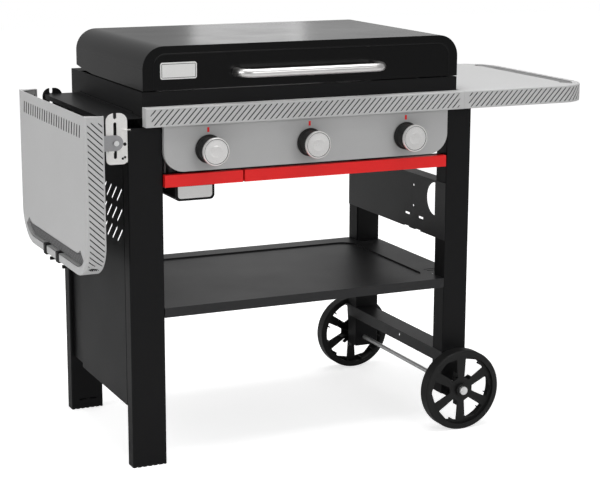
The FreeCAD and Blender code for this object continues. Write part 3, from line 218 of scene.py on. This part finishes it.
satin_black = finish("satin_black", (0.0065, 0.0065, 0.007), 0.5, scale=1100, shade=0.3, specular=0.15)
moulded = finish("moulded_black", (0.010, 0.010, 0.010), 0.5, scale=700, specular=0.25)
coat(satin_black, "leg_front_left", "leg_rear_left", "leg_front_right", "leg_rear_right",
     "front_crossbar", "rear_crossbar", "side_panel_left")
coat(moulded, "foot_caps")


# ----------------------------------------------------------------- bottom shelf
# A pressed shelf with a lip all round, bolted to the legs, and the flanged panel and bar
# between the right legs. Their coat is a little paler and shinier than that of the legs.
deck_black = finish("deck_black", (0.016, 0.016, 0.017), 0.42, scale=1000, shade=0.3, specular=0.35)
zinc = finish("zinc_plate", (0.80, 0.80, 0.80), 0.36, metal=0.75, scale=500)
coat(deck_black, "bottom_shelf", "crossbar_right", "cross_panel_right")
coat(zinc, "shelf_bolts")


# -------------------------------------------------------------- axle and wheels
# A plated steel axle runs through both right legs; on each end turns a wheel moulded in
# black plastic, held by a cap nut.
coat(zinc, "axle", "axle_nuts")
coat(moulded, "wheel_front", "wheel_rear")


# --------------------------------------------------------------------- cook box
# The black sheet-steel box carries the rolled steel plate, and under it the fire pan with
# three aluminised tube burners, cast valves with brass stems, the pipe and the chute.
oiled_steel = finish("oiled_steel", (0.08, 0.075, 0.07), 0.4, metal=0.8, scale=300)
brass = finish("brass", (0.72, 0.5, 0.2), 0.3, metal=1.0, scale=400)
cast = finish("cast_alloy", (0.6, 0.6, 0.6), 0.5, metal=0.8, scale=500)
coat(satin_black, "cook_box", "burner_box")
coat(oiled_steel, "griddle_plate")
coat(cast, "burner_1", "burner_2", "burner_3", "valve_1", "valve_2", "valve_3", "manifold",
     "grease_chute")
coat(brass, "gas_inlet", "valve_stem_1", "valve_stem_2", "valve_stem_3")
coat(moulded, "lid_bumpers")


# ------------------------------------------------------- drip tray and red rail
# The folded tray slides in two guides under the cook box. Its front and the fixed rail
# beside it are coated red, and a bright steel face is fixed on below.
signal_red = finish("signal_red", (0.86, 0.018, 0.018), 0.35, scale=900, specular=0.3)
brushed = finish("brushed_steel", (0.74, 0.73, 0.72), 0.30, metal=1.0, scale=700)
coat(satin_black, "drip_tray")
coat(cast, "tray_guides")
coat(signal_red, "red_rail", "tray_front")
coat(brushed, "tray_face")


# ------------------------------------------------------------------ front ledge
# The light gray ledge along the front of the cook box: folded sheet with a shallow strip
# pressed into its face, and one long row of slanted slits in the strip. The real slits are
# cut through; here each is sunk 1.5 mm and its faces are painted near black, a painted
# shade for the dark seen through the openings.
shelf_gray = finish("shelf_gray", (0.56, 0.56, 0.56), 0.5, scale=1500, shade=0.4, specular=0.3)
# Painted shade: this near black colours the faces of the sunk slits, oval slots and louvre pockets,
# standing for the shade inside the openings. It also colours the badge's dark border line and the fine
# step in the knob caps.
shade_and_inlay_dark = finish("shade_and_inlay_dark", (0.012, 0.012, 0.013), 0.6, scale=1200, shade=0.3, specular=0.2)
coat(shelf_gray, "front_ledge")


def shown(name, points, faces, looks, dark=None, smooth=True, flat_from=None):
    """A mesh object from points and faces; dark says which look each face takes, and faces
    from flat_from on are shaded flat."""
    mesh = bpy.data.meshes.new(name)
    mesh.from_pydata(points.tolist(), [], faces if isinstance(faces, list) else faces.tolist())
    for look in looks:
        mesh.materials.append(look)
    if dark is not None:
        mesh.polygons.foreach_set("material_index", np.asarray(dark, dtype=np.int32))
    round_faces = np.full(len(mesh.polygons), smooth)
    if smooth:
        mesh.set_sharp_from_angle(angle=math.radians(32))
    if flat_from is not None:
        round_faces[flat_from:] = False
    mesh.polygons.foreach_set("use_smooth", round_faces)
    mesh.update()
    piece = bpy.data.objects.new(name, mesh)
    scene.collection.objects.link(piece)
    return piece


def grid_faces(rows, columns, wrap=False):
    """Quads of a grid of points counted row by row; wrap also joins the last row to the first."""
    r = np.arange(rows if wrap else rows - 1)
    c = np.arange(columns - 1)
    r, c = np.meshgrid(r, c, indexing="ij")
    r2 = (r + 1) % rows
    this, after = r * columns + c, r2 * columns + c
    return np.stack([this, this + 1, after + 1, after], axis=-1).reshape(-1, 4)


# Sizes of the band in millimetres, with heights below the top; the slant is a slope.
PITCH_MM, SLIT, SLANT, SLIT_DEEP, STRIP_DEEP = 15.3, 3.1, 0.93, 1.5, 0.6
STRIP_LOW, STRIP_TOP = -43.3, -3.9
RIM_HIGH = 47.0            # height of the band, from its lower edge to the top
RUN_ON = 40.0              # the row of slits starts this far before the band
END_OVER = 22.0            # stations kept past each end, so the slant can clip them
SOFT = 0.25                # half width of the wall of a slit


def slit_columns(length):
    """Stations along the band: four close to the edges of each slit, three between slits."""
    start = np.arange(-RUN_ON, length + RUN_ON, PITCH_MM)
    steps = np.array([-SOFT, SOFT, SLIT - SOFT, SLIT + SOFT, 6.2, 9.3, 12.3])
    s = (start[:, None] + steps[None, :]).ravel()
    s = s[(s > -END_OVER) & (s < length + END_OVER)]
    return np.concatenate([[-END_OVER - 0.5], s, [length + END_OVER + 0.5]])


def slit_phase(s):
    """Distance of each station past the start of its own slit, from -0.5 to a pitch less 0.5."""
    return np.mod(s + RUN_ON + 0.5, PITCH_MM) - 0.5


def band(length, strip, way, section):
    """Points of the band: each station slides along by its height times the slant, and stops
    at the ends. The face sinks in the strip and again in each slit."""
    s0 = slit_columns(length)
    rows = np.array(section)
    z = np.clip(rows[:, 1], -RIM_HIGH, 0.0)[:, None]
    s = np.clip(s0[None, :] + way * (z + RIM_HIGH / 2) * SLANT, 0.0, length)
    on_face = (np.abs(rows[:, 0]) < 0.01)[:, None]
    high = (rows[:, 1] < STRIP_TOP + 0.01) & (rows[:, 1] > STRIP_LOW - 0.01)
    in_strip = on_face & high[:, None] & (s > strip[0]) & (s < strip[1])
    mid = (rows[:, 1] < STRIP_TOP - 1.2) & (rows[:, 1] > STRIP_LOW + 1.2)
    phase = slit_phase(s0)
    in_slit = (in_strip & mid[:, None] & (s > strip[0] + 3) & (s < strip[1] - 3)
               & ((phase > 0.1) & (phase < SLIT))[None, :])
    sink = STRIP_DEEP * in_strip + SLIT_DEEP * in_slit
    return s, z + 0 * s, rows[:, 0][:, None] + sink, in_slit


def slit_faces(in_slit):
    """The grid cells with at least two corners in a slit."""
    m = in_slit.astype(int)
    cells = m[:-1, :-1] + m[1:, :-1] + m[:-1, 1:] + m[1:, 1:]
    return (cells >= 2).astype(int).ravel()


def face_rows():
    """Heights up the face, close together at the edges of the strip and of the slits."""
    low, top = STRIP_LOW, STRIP_TOP
    inner = list(np.linspace(low + 1.5, top - 1.5, 9))
    return [low - 0.3, low, low + 1.0] + inner + [top - 1.0, top, top + 0.3]


def closed_ends(rows, columns):
    """The two end faces of a tube made of that grid, as loops of its first and last columns."""
    first = [r * columns for r in range(rows)]
    last = [r * columns + columns - 1 for r in range(rows)]
    return [first[::-1], last]


MERGE = 0.00002            # points nearer than this, in metres, become one


def welded(piece):
    """Joins points that lie on each other, where stations meet at an end or a pole."""
    weld = piece.modifiers.new("weld", "WELD")
    weld.merge_threshold = MERGE


ledge_low, ledge_high = (np.array(v) * 1000 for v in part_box("front_ledge"))
ledge_deep = ledge_high[1] - ledge_low[1]
ledge_section = ([(ledge_deep, -46.9), (1.2, -46.9), (0.35, -46.5), (0.0, -45.6)]
                 + [(0.0, v) for v in face_rows()]
                 + [(0.0, -3.0), (0.4, -1.5), (1.4, -0.4), (3.0, 0.0), (ledge_deep, 0.0)])
ledge_long = ledge_high[0] - ledge_low[0]
s, z, inward, cut = band(ledge_long, (11.0, ledge_long - 11.0), 1, ledge_section)
ledge_points = np.stack([ledge_low[0] + s, ledge_low[1] + inward, ledge_high[2] + z], axis=-1)
ledge_points = ledge_points.reshape(-1, 3) / 1000
rows, columns = s.shape
quads = grid_faces(rows, columns, wrap=True)
# The slit faces take the dark look: painted shade for the open slits.
dark = np.concatenate([slit_faces(cut), np.zeros(columns - 1, dtype=int), [0, 0]])
ledge = shown("ledge", ledge_points, quads.tolist() + closed_ends(rows, columns),
              (shelf_gray, shade_and_inlay_dark), dark, flat_from=len(quads))
welded(ledge)
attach(ledge, "cart")
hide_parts("front_ledge")


# ------------------------------------------------------------------ control panel
# The steel panel in light gray coat hangs under the ledge. A small red mark is printed
# above each knob; it shows where the knob stands when off.
panel_gray = finish("panel_gray", (0.47, 0.47, 0.47), 0.42, scale=1300, shade=0.15, specular=0.35)
coat(panel_gray, "control_panel")
MARK_WIDE, MARK_HIGH, MARK_THICK, MARK_UP = 0.0029, 0.0060, 0.0006, 0.0115
for k in (1, 2, 3):
    knob_low, knob_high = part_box("knob_%d" % k)
    panel_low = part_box("control_panel")[0]
    xm, zm = (knob_low[0] + knob_high[0]) / 2, knob_high[2] + MARK_UP
    x = np.array([-1, 1, 1, -1, -1, 1, 1, -1]) * MARK_WIDE + xm
    y = np.array([0, 0, 0, 0, 1, 1, 1, 1]) * MARK_THICK + panel_low[1] - MARK_THICK / 2
    zz = np.array([-1, -1, 1, 1, -1, -1, 1, 1]) * MARK_HIGH + zm
    faces = [(0, 1, 2, 3), (7, 6, 5, 4), (0, 4, 5, 1), (1, 5, 6, 2), (2, 6, 7, 3), (3, 7, 4, 0)]
    mark = shown("off_mark_%d" % k, np.stack([x, y, zz], axis=-1), faces, (signal_red,),
                 smooth=False)
    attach(mark, "cart")


# --------------------------------------------------------------- knobs and caps
# Each knob is moulded in black plastic and carries a bright plated cap: a rolled rim, a
# fine dark step inside it and a shallow dished middle with a raised round centre.
bright = finish("bright_cap", (0.92, 0.91, 0.90), 0.32, metal=1.0, scale=400)
coat(moulded, "knob_1", "knob_2", "knob_3")
coat(bright, "knob_cap_1", "knob_cap_2", "knob_cap_3")
CAP_SIDES = 72


def turned(profile, centre, n):
    """A solid of revolution about a line along Y: each profile point (radius, y) is carried
    round the circle; the first and last radius are nought, so both ends close."""
    p = np.array(profile)
    a = np.linspace(0, 2 * np.pi, n, endpoint=False)
    x = centre[0] + p[:, 0][:, None] * np.cos(a)
    zz = centre[1] + p[:, 0][:, None] * np.sin(a)
    y = p[:, 1][:, None] + 0 * a
    points = np.stack([x, y, zz], axis=-1).reshape(-1, 3)
    r, c = np.meshgrid(np.arange(len(p) - 1), np.arange(n), indexing="ij")
    c2 = (c + 1) % n
    quads = np.stack([r * n + c, r * n + c2, (r + 1) * n + c2, (r + 1) * n + c], axis=-1)
    return points, quads.reshape(-1, 4)


for k in (1, 2, 3):
    cap_low, cap_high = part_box("knob_cap_%d" % k)
    front, back, radius = cap_low[1], cap_high[1], (cap_high[0] - cap_low[0]) / 2
    centre = ((cap_low[0] + cap_high[0]) / 2, (cap_low[2] + cap_high[2]) / 2)
    share = [(0, back), (0.90, back), (1.0, back - 0.0006), (1.0, front + 0.0022),
             (0.985, front + 0.0008), (0.955, front), (0.91, front), (0.895, front + 0.0004),
             (0.885, front + 0.0017), (0.865, front + 0.0017), (0.855, front + 0.0007),
             (0.80, front + 0.0006), (0.60, front + 0.0011), (0.42, front + 0.0013),
             (0.40, front + 0.0007), (0.2, front + 0.0005), (0.0, front + 0.0005)]
    points, faces = turned([(radius * r, y) for r, y in share], centre, CAP_SIDES)
    dark = np.repeat(np.isin(np.arange(len(share) - 1), (7, 8)).astype(int), CAP_SIDES)
    cap = shown("cap_%d" % k, points, faces, (bright, shade_and_inlay_dark), dark)
    welded(cap)
    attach(cap, "knob_%d" % k)
    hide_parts("knob_cap_%d" % k)


# -------------------------------------------------------------------------- lid
# A deep-drawn hood in gloss black enamel. Two leaves on it turn on plated pins in forks
# fixed to the cook box, and a bent steel tube across the front is its handle.
gloss_black = finish("gloss_black", (0.002, 0.002, 0.0022), 0.22, scale=600, bump=0.00003, specular=0.22)
coat(gloss_black, "lid")
coat(satin_black, "lid_arms", "hinge_brackets")
coat(zinc, "hinge_pins")
coat(brushed, "lid_handle")


# ------------------------------------------------------------------ lid swage line
# The lid's front is stiffened by a rounded bead pressed along its outline, up one side,
# across the top and down the other; it is part of the sheet and takes the same enamel.
lid_low, lid_high = (np.array(v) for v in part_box("lid"))


def bead(path, spread, height, n=9):
    """A half-round ridge: at each path point (x, z, normal) the section runs across the
    normal as a cosine, raised towards -Y and closed along its flat back."""
    path = np.array(path)
    t = np.linspace(-1, 1, n)
    lift = height * np.cos(t * np.pi / 2)
    across = np.concatenate([t * spread, [spread, -spread]])
    out = np.concatenate([lift, [-0.0003, -0.0003]])
    x = path[:, 0][None] + across[:, None] * path[:, 2][None]
    zz = path[:, 1][None] + across[:, None] * path[:, 3][None]
    y = lid_low[1] - out[:, None] + 0 * x
    return np.stack([x, y, zz], axis=-1).reshape(-1, 3), n + 2, len(path)


inset, round_r = 0.0265, 0.032
x0, x1, top = lid_low[0] + inset, lid_high[0] - inset, lid_high[2] - 0.019
foot = lid_low[2] + 0.002
a = np.radians(np.linspace(180, 90, 14))
path = ([(x0, foot, 1, 0)]
        + [(x0 + round_r + round_r * math.cos(v), top - round_r + round_r * math.sin(v),
            -math.cos(v), -math.sin(v)) for v in a]
        + [(x1 - round_r - round_r * math.cos(v), top - round_r + round_r * math.sin(v),
            math.cos(v), -math.sin(v)) for v in a[::-1]]
        + [(x1, foot, -1, 0)])
points, rows, columns = bead(path, 0.0022, 0.0009)
quads = grid_faces(rows, columns, wrap=True)
ends = [loop[::-1] for loop in closed_ends(rows, columns)]
swage = shown("lid_swage", points, quads[:, ::-1].tolist() + ends, (gloss_black,))
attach(swage, "lid")


# --------------------------------------------------------------------- lid badge
# A small plain plate fixed to the lid: round corners, a bevelled edge and one dark
# border line sunk all round, with nothing written inside it.
coat(brushed, "lid_badge")
badge_low, badge_high = (np.array(v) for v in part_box("lid_badge"))
a = np.radians(np.arange(0, 360, 10.0))
half_x, half_z = (badge_high[0] - badge_low[0]) / 2, (badge_high[2] - badge_low[2]) / 2
rings = []
for inset, y in ((0.0, 1.4), (0.0, 0.5), (0.5, 0.0), (3.2, 0.0), (3.4, 0.5), (4.3, 0.5),
                 (4.5, 0.0), (7.0, 0.05)):
    r = max(6.0 - inset, 1.0) / 1000
    cx = np.sign(np.round(np.cos(a), 6) + 1e-9) * (half_x - inset / 1000 - r)
    cz = np.sign(np.round(np.sin(a), 6) + 1e-9) * (half_z - inset / 1000 - r)
    rings.append(np.stack([(badge_low[0] + badge_high[0]) / 2 + cx + r * np.cos(a),
                           np.full(len(a), badge_low[1] + y / 1000),
                           (badge_low[2] + badge_high[2]) / 2 + cz + r * np.sin(a)], axis=-1))
n = len(a)
r, c = np.meshgrid(np.arange(len(rings) - 1), np.arange(n), indexing="ij")
c2 = (c + 1) % n
quads = np.stack([r * n + c, r * n + c2, (r + 1) * n + c2, (r + 1) * n + c], axis=-1)
quads = quads.reshape(-1, 4).tolist()
caps = [list(range(n))[::-1], list(range((len(rings) - 1) * n, len(rings) * n))]
dark = np.concatenate([np.repeat(np.isin(np.arange(len(rings) - 1), (3, 4, 5)).astype(int), n), [0, 0]])
plate_steel = finish("plate_steel", (0.80, 0.80, 0.79), 0.45, metal=0.35, scale=800)
badge = shown("badge", np.concatenate(rings), quads + caps, (plate_steel, shade_and_inlay_dark), dark,
              flat_from=len(quads))
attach(badge, "lid")
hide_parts("lid_badge")


# ------------------------------------------------------------------ side shelves
# Both shelves are the same pressing: a tray with oval corners, slits round its rim, and
# a grip beside the handle bar. The left one has louvre pockets and hangs folded down.
# The slits, the two oval slots and the louvre pockets are sunk shallow and painted near
# black, a painted shade for the dark inside the openings.
# Painted shade: the grip's sunk plate is coloured dark gray for the shade in its recess.
grip_painted_shade = finish("grip_painted_shade", (0.15, 0.15, 0.152), 0.55, scale=1500, shade=0.4, specular=0.2)
coat(shelf_gray, "shelf_right", "shelf_left")
coat(satin_black, "right_supports")
SHELF_X, SHELF_Y, OVAL_X, OVAL_Y = 403.5, 585.0, 90.0, 100.0
BAR, GRIP, GRIP_DOWN, TURN = 22.0, 33.0, 8.0, 50.0
SIDE_STRIP = 375.0         # the strip with its slits stops here, short of the corner
GRIP_ARC = 62.0            # mean radius of the grip where it turns the corner


def rim_ring(inset, n=160):
    """The shelf outline moved in by inset: a straight side, a quarter oval, the straight
    outer end, a quarter oval and the other side, in dense points from hinge to hinge."""
    rx, ry = OVAL_X - inset, OVAL_Y - inset
    xc = SHELF_X - OVAL_X
    side = np.linspace(0, xc, n)
    a = np.radians(np.linspace(90, 0, n))
    end = np.linspace(OVAL_Y, SHELF_Y - OVAL_Y, n)
    x = np.concatenate([side, xc + rx * np.cos(a), np.full(n, SHELF_X - inset),
                        xc + rx * np.cos(a[::-1]), side[::-1]])
    y = np.concatenate([np.full(n, inset), OVAL_Y - ry * np.sin(a), end,
                        SHELF_Y - OVAL_Y + ry * np.sin(a[::-1]), np.full(n, SHELF_Y - inset)])
    return x, y


ring_x, ring_y = rim_ring(0.0)
RUN_S = np.concatenate([[0], np.cumsum(np.hypot(np.diff(ring_x), np.diff(ring_y)))])


def on_rim(s, inset):
    """Point at distance s along the rim, moved in by inset, where s follows the outermost line."""
    low_x, low_y = rim_ring(0.0)
    in_x, in_y = rim_ring(40.0)
    x0, y0 = np.interp(s, RUN_S, low_x), np.interp(s, RUN_S, low_y)
    x1, y1 = np.interp(s, RUN_S, in_x), np.interp(s, RUN_S, in_y)
    return x0 + (x1 - x0) * inset / 40.0, y0 + (y1 - y0) * inset / 40.0


def grip_loop(n=26):
    """Outline of the grip: the rim's line moved in by the bar, then back along the line moved
    in by the bar and the grip, each from one turned end to the other."""
    a = np.radians(np.linspace(TURN, 0, n))
    xc = SHELF_X - OVAL_X

    def edge(inset, flip):
        """The line moved in by inset, front corner to back corner, or the other way round."""
        rx, ry = OVAL_X - inset, OVAL_Y - inset
        x = xc + rx * np.cos(a)
        y = OVAL_Y - ry * np.sin(a)
        front = np.stack([x, y], axis=-1)
        back = np.stack([x, SHELF_Y - y], axis=-1)[::-1]
        whole = np.concatenate([front, back])
        return whole[::-1] if flip else whole
    return np.concatenate([edge(BAR, False), edge(BAR + GRIP, True)])


def filled(outline, holes):
    """Flat triangles inside an outline and outside the holes: all triangles between the
    given points, kept where their middle is inside the outline and in no hole."""
    loops = [outline] + holes
    points = np.concatenate(loops)
    edges, start = [], 0
    for loop in loops:
        k = len(loop)
        edges += [(start + i, start + (i + 1) % k) for i in range(k)]
        start += k
    verts, _, tris, _, _, _ = delaunay_2d_cdt([Vector(v) for v in points.tolist()], edges, [], 0, 1e-6)
    verts = np.array([v[:] for v in verts])
    tris = np.array(tris)
    mid = verts[tris].mean(axis=1)

    def inside(loop, q):
        """A point is inside when a ray from it towards +X crosses the loop an odd number of
        times."""
        x0, y0 = loop[:, 0], loop[:, 1]
        x1, y1 = np.roll(x0, -1), np.roll(y0, -1)
        crosses = (y0[None] > q[:, 1:2]) != (y1[None] > q[:, 1:2])
        dy = np.where(y1 == y0, 1e-12, y1 - y0)
        at = x0[None] + (q[:, 1:2] - y0[None]) * ((x1 - x0) / dy)[None]
        return (crosses & (q[:, 0:1] < at)).sum(axis=1) % 2 == 1
    keep = inside(outline, mid)
    for hole in holes:
        keep &= ~inside(hole, mid)
    tris = tris[keep]
    a, b, c = verts[tris[:, 0]], verts[tris[:, 1]], verts[tris[:, 2]]
    turn = (b[:, 0] - a[:, 0]) * (c[:, 1] - a[:, 1]) - (b[:, 1] - a[:, 1]) * (c[:, 0] - a[:, 0])
    tris[turn < 0] = tris[turn < 0][:, ::-1]
    return verts, tris


def louvre_holes():
    """Twenty-four slanted slots with round ends in a row near the hinge edge: two half
    circles a straight apart, leant over by the tilt and repeated at an even step."""
    a = np.radians(np.linspace(-90, 90, 7))
    half_long, end_r, count = 13, 3.3, 24
    end = np.stack([half_long + end_r * np.cos(a), end_r * np.sin(a)], axis=-1)
    loop = np.concatenate([end, -end])
    tilt = math.radians(10)
    leant = np.stack([loop[:, 0] * math.cos(tilt) - loop[:, 1] * math.sin(tilt),
                      loop[:, 0] * math.sin(tilt) + loop[:, 1] * math.cos(tilt)], axis=-1)
    return [leant + (40.0, 48.0 + i * (SHELF_Y - 96.0) / (count - 1)) for i in range(count)]


def shelf_sheet(way, louvred):
    """The whole pressing as one sheet: the rim's section, as (inset, height), is carried along
    the rim from hinge to hinge; its last line is filled flat as the top, around the grip and
    the louvres, and each louvre is a pocket sunk straight down."""
    section = ([(11.0, -47.0), (3.0, -47.0), (0.9, -46.4), (0.0, -45.2)]
               + [(0.0, v) for v in face_rows()]
               + [(0.0, -3.0), (0.5, -1.3), (1.6, -0.3), (3.2, 0.0), (17.0, 0.0), (17.6, -0.5),
                  (18.9, -0.5), (19.5, 0.0), (21.0, 0.0)])
    length = RUN_S[-1]
    s, z, inset, cut = band(length, (12.0, length - 12.0), way, section)
    face = np.abs(np.array(section)[:, 0]) < 0.01
    plain = (s > SIDE_STRIP) & (s < length - SIDE_STRIP) & face[:, None]
    inset = np.where(plain, 0.0, inset)
    cut = cut & ~plain
    slot_mid = SIDE_STRIP + 17.0
    for middle in (slot_mid, length - slot_mid):
        oval = plain & (((s - middle) / 5.5) ** 2 + ((z + 23.0) / 13.0) ** 2 < 1.0)
        inset = inset + 2.2 * oval
        cut = cut | oval
    x, y = on_rim(s, inset)
    rim = np.stack([x, y, z], axis=-1)
    last = rim[-1, :, :2]
    holes = louvre_holes() if louvred else []
    top, tris = filled(last, [grip_loop()] + holes)
    quads = grid_faces(*s.shape)
    points = [rim.reshape(-1, 3), np.column_stack([top, np.zeros(len(top))])]
    faces = quads.tolist() + (tris + s.size).tolist()
    # Slits and oval slots take the dark look: painted shade for the openings.
    dark = [slit_faces(cut), np.zeros(len(tris), dtype=int)]
    pocket_deep = 5.0
    for loop in holes:
        n, base = len(loop), sum(len(v) for v in points)
        points += [np.column_stack([loop, np.zeros(n)]),
                   np.column_stack([loop, np.full(n, -pocket_deep)])]
        i = np.arange(n)
        j = (i + 1) % n
        faces += np.stack([base + i, base + j, base + n + j, base + n + i], axis=-1).tolist()
        faces.append((base + n + i).tolist())
        # The pocket's walls and floor are painted near black: painted shade inside the louvre.
        dark.append(np.ones(n + 1, dtype=int))
    return np.concatenate(points), faces, np.concatenate(dark), quads.shape[0]


def grip_parts(way):
    """The grip: its walls, the sunk plate with the same slits, and the bar's under side.
    Walls run straight down from the grip outline; the plate leaves a strip open by the bar."""
    loop = grip_loop()
    n = len(loop)
    down = np.array([0.0, -1.0, -GRIP_DOWN, -30.0, -46.9])
    wall = np.concatenate([np.column_stack([loop, np.full(n, v)]) for v in down])
    r, c = np.meshgrid(np.arange(len(down) - 1), np.arange(n), indexing="ij")
    c2 = (c + 1) % n
    walls = np.stack([r * n + c, r * n + c2, (r + 1) * n + c2, (r + 1) * n + c], axis=-1).reshape(-1, 4)

    stop = SHELF_Y - 2 * OVAL_Y
    turn = math.radians(TURN - 1.0)
    length = stop + 2 * turn * GRIP_ARC
    s0 = np.unique(slit_columns(length))
    inset = np.array([BAR + 6.5, BAR + 8.5, BAR + 9.3]
                     + list(np.linspace(BAR + 12.0, BAR + GRIP - 5.0, 6))
                     + [BAR + GRIP - 2.4, BAR + GRIP - 1.4, BAR + GRIP + 0.3])
    mid = BAR + GRIP / 2
    s = np.clip(s0[None, :] + way * (mid - inset[:, None]) * SLANT, 0.0, length)
    phase = slit_phase(s0)
    rows_in = (inset > BAR + 8.6) & (inset < BAR + GRIP - 1.9)
    slit = (rows_in[:, None] & ((phase > 0.1) & (phase < SLIT))[None, :]
            & (s > 10) & (s < length - 10))
    from_corner = s - turn * GRIP_ARC
    before = np.clip(from_corner, None, 0.0)
    after = np.clip(from_corner - stop, 0.0, None)
    angle = (after + before) / GRIP_ARC
    rx, ry = OVAL_X - inset[:, None], OVAL_Y - inset[:, None]
    x = SHELF_X - OVAL_X + rx * np.cos(angle)
    along = np.clip(from_corner, 0.0, stop) + OVAL_Y
    y = along + ry * np.sin(angle)
    plate = np.stack([x, y, -GRIP_DOWN - 1.2 * slit], axis=-1).reshape(-1, 3)
    plate_faces = grid_faces(*x.shape)[:, ::-1] + len(wall)

    s1 = np.linspace(RUN_S[-1] * 0.27, RUN_S[-1] * 0.73, 120)
    lane = np.array([9.0, 15.0, BAR + 1.0])[:, None]
    bx, by = on_rim(np.broadcast_to(s1, (3, 120)), lane + 0 * s1)
    under = np.stack([bx, by, np.full(bx.shape, -46.9)], axis=-1).reshape(-1, 3)
    under_faces = grid_faces(3, 120)[:, ::-1] + len(wall) + len(plate)
    points = np.concatenate([wall, plate, under])
    faces = np.concatenate([walls, plate_faces, under_faces])
    # The grip's plate takes the painted shade of the recess; its slits take the darker painted shade.
    plate_dark = np.where(slit_faces(slit) == 1, 1, 2)
    dark = np.concatenate([np.zeros(len(walls), dtype=int), plate_dark,
                           np.zeros(len(under_faces), dtype=int)])
    return points, faces.tolist(), dark, None


def thick(piece, wall):
    """Turns the open sheet into sheet metal: doubles merged, then a wall grown on its back."""
    welded(piece)
    solid = piece.modifiers.new("wall", "SOLIDIFY")
    solid.thickness = wall
    solid.offset = -1.0
    solid.use_even_offset = False


right_low, right_high = (np.array(v) * 1000 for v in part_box("shelf_right"))
left_low, left_high = (np.array(v) * 1000 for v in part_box("shelf_left"))


def to_right(p):
    """The right shelf in its place: moved to its inner front corner, in metres."""
    moved = [right_low[0] + p[:, 0], right_low[1] + p[:, 1], right_high[2] + p[:, 2]]
    return np.stack(moved, axis=-1) / 1000


def to_left(p):
    """The mirrored shelf turned down through a right angle: its top looks outwards."""
    moved = [left_low[0] - p[:, 2], left_low[1] + p[:, 1], left_high[2] - p[:, 0]]
    return np.stack(moved, axis=-1) / 1000


for side, place, way, body_name, node in (("right", to_right, 1, "cart", "shelf_right"),
                                          ("left", to_left, -1, "left_shelf", "shelf_left")):
    pieces = []
    for title, (points, faces, dark, flat), wall in (
            ("tray", shelf_sheet(way, side == "left"), 0.0013), ("grip", grip_parts(way), 0.0011)):
        if side == "left":
            faces = [f[::-1] for f in faces]
        piece = shown("shelf_%s_%s" % (title, side), place(points), faces,
                      (shelf_gray, shade_and_inlay_dark, grip_painted_shade), dark, flat_from=flat)
        thick(piece, wall)
        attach(piece, body_name)
        pieces.append(piece)
    for piece in pieces:
        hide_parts(node)


# ------------------------------------------------------------------ hinge-end lips
# Where the rim ends at the hinge, its sheet is turned in at each corner of the left
# shelf: a small flat lip, wide by the top and narrowing in a wave to the lower edge.
n = 20
for end in ("front", "back"):
    t = np.linspace(0, 1, n)
    wide = 9.0 + 13.0 * (0.5 + 0.5 * np.cos(np.pi * t))
    z_line = -1.6 - 43.0 * t
    y_in = np.full(n, 1.3)
    across = np.stack([y_in, wide], axis=0)
    across = across if end == "front" else SHELF_Y - across
    grid = [np.stack([np.full((2, n), depth), across, np.stack([z_line, z_line])], axis=-1)
            for depth in (0.4, 1.6)]
    points = np.concatenate([g.reshape(-1, 3) for g in grid])
    sheet = grid_faces(2, n)
    side_loop = np.concatenate([np.arange(n), n + np.arange(n)[::-1]])
    after = np.roll(side_loop, -1)
    walls = np.stack([side_loop, side_loop + 2 * n, after + 2 * n, after], axis=-1)
    faces = np.concatenate([sheet, sheet[:, ::-1] + 2 * n, walls])
    faces = faces if end == "back" else faces[:, ::-1]
    lip = shown("hinge_lip_%s" % end, to_left(points), faces, (shelf_gray,), smooth=False)
    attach(lip, "left_shelf")


# ------------------------------------------------------------------ shelf bracket
# One weldment of plated steel: the front end plate is bright zinc; the channel behind it
# and the rear plate are coloured near black and not metallic, a painted shade for the
# shade they stand in. Black screws hold its flange; the strap is duller steel.
coat(zinc, "bracket_screws", "pivot_rod")
plate_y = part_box("shelf_bracket")[0][1] + 0.0119
# Painted shade: behind plate_y the zinc colour turns near black and loses its metal.
zinc_painted_shade = finish("zinc_painted_shade", (0.90, 0.89, 0.87), 0.36, scale=500)
n, link = zinc_painted_shade.node_tree.nodes, zinc_painted_shade.node_tree.links.new
where, split, behind = n.new("ShaderNodeTexCoord"), n.new("ShaderNodeSeparateXYZ"), n.new("ShaderNodeMath")
behind.operation = "GREATER_THAN"
behind.inputs[1].default_value = plate_y
link(where.outputs["Object"], split.inputs["Vector"])
link(split.outputs["Y"], behind.inputs[0])
shade_mix, shine = n.new("ShaderNodeMix"), n.new("ShaderNodeMath")
shade_mix.data_type = "RGBA"
link(behind.outputs[0], shade_mix.inputs["Factor"])
shader = n["Principled BSDF"]
link(shader.inputs["Base Color"].links[0].from_socket, shade_mix.inputs["A"])
shade_mix.inputs["B"].default_value = (0.008, 0.008, 0.0085, 1)
link(shade_mix.outputs["Result"], shader.inputs["Base Color"])
shine.operation = "MULTIPLY_ADD"
shine.inputs[1].default_value = -0.7
shine.inputs[2].default_value = 0.7
link(behind.outputs[0], shine.inputs[0])
link(shine.outputs[0], shader.inputs["Metallic"])
shader.inputs["Specular IOR Level"].default_value = 0.25
coat(zinc_painted_shade, "shelf_bracket")
strap_steel = finish("strap_steel", (0.36, 0.36, 0.37), 0.4, metal=0.6, scale=500)
coat(strap_steel, "shelf_arms")
leg_low, leg_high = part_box("leg_front_left")
seat = leg_low[1] - 0.0008
for k, (off, up, radius) in enumerate(((-0.0072, -0.036, 0.0042), (-0.0072, -0.068, 0.0030),
                                       (-0.0130, -0.071, 0.0030))):
    head = [(0, seat), (radius, seat), (radius, seat - 0.0012), (radius * 0.7, seat - 0.0022),
            (0, seat - 0.0024)]
    points, faces = turned(head, (leg_low[0] + off, leg_high[2] + up), n=24)
    screw = shown("flange_screw_%d" % (k + 1), points, faces, (moulded,))
    welded(screw)
    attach(screw, "cart")


# ------------------------------------------------------------------- tool hooks
# Two hooks moulded in black plastic, clipped round the handle bar of the left shelf.
coat(moulded, "tool_hook_1", "tool_hook_2")
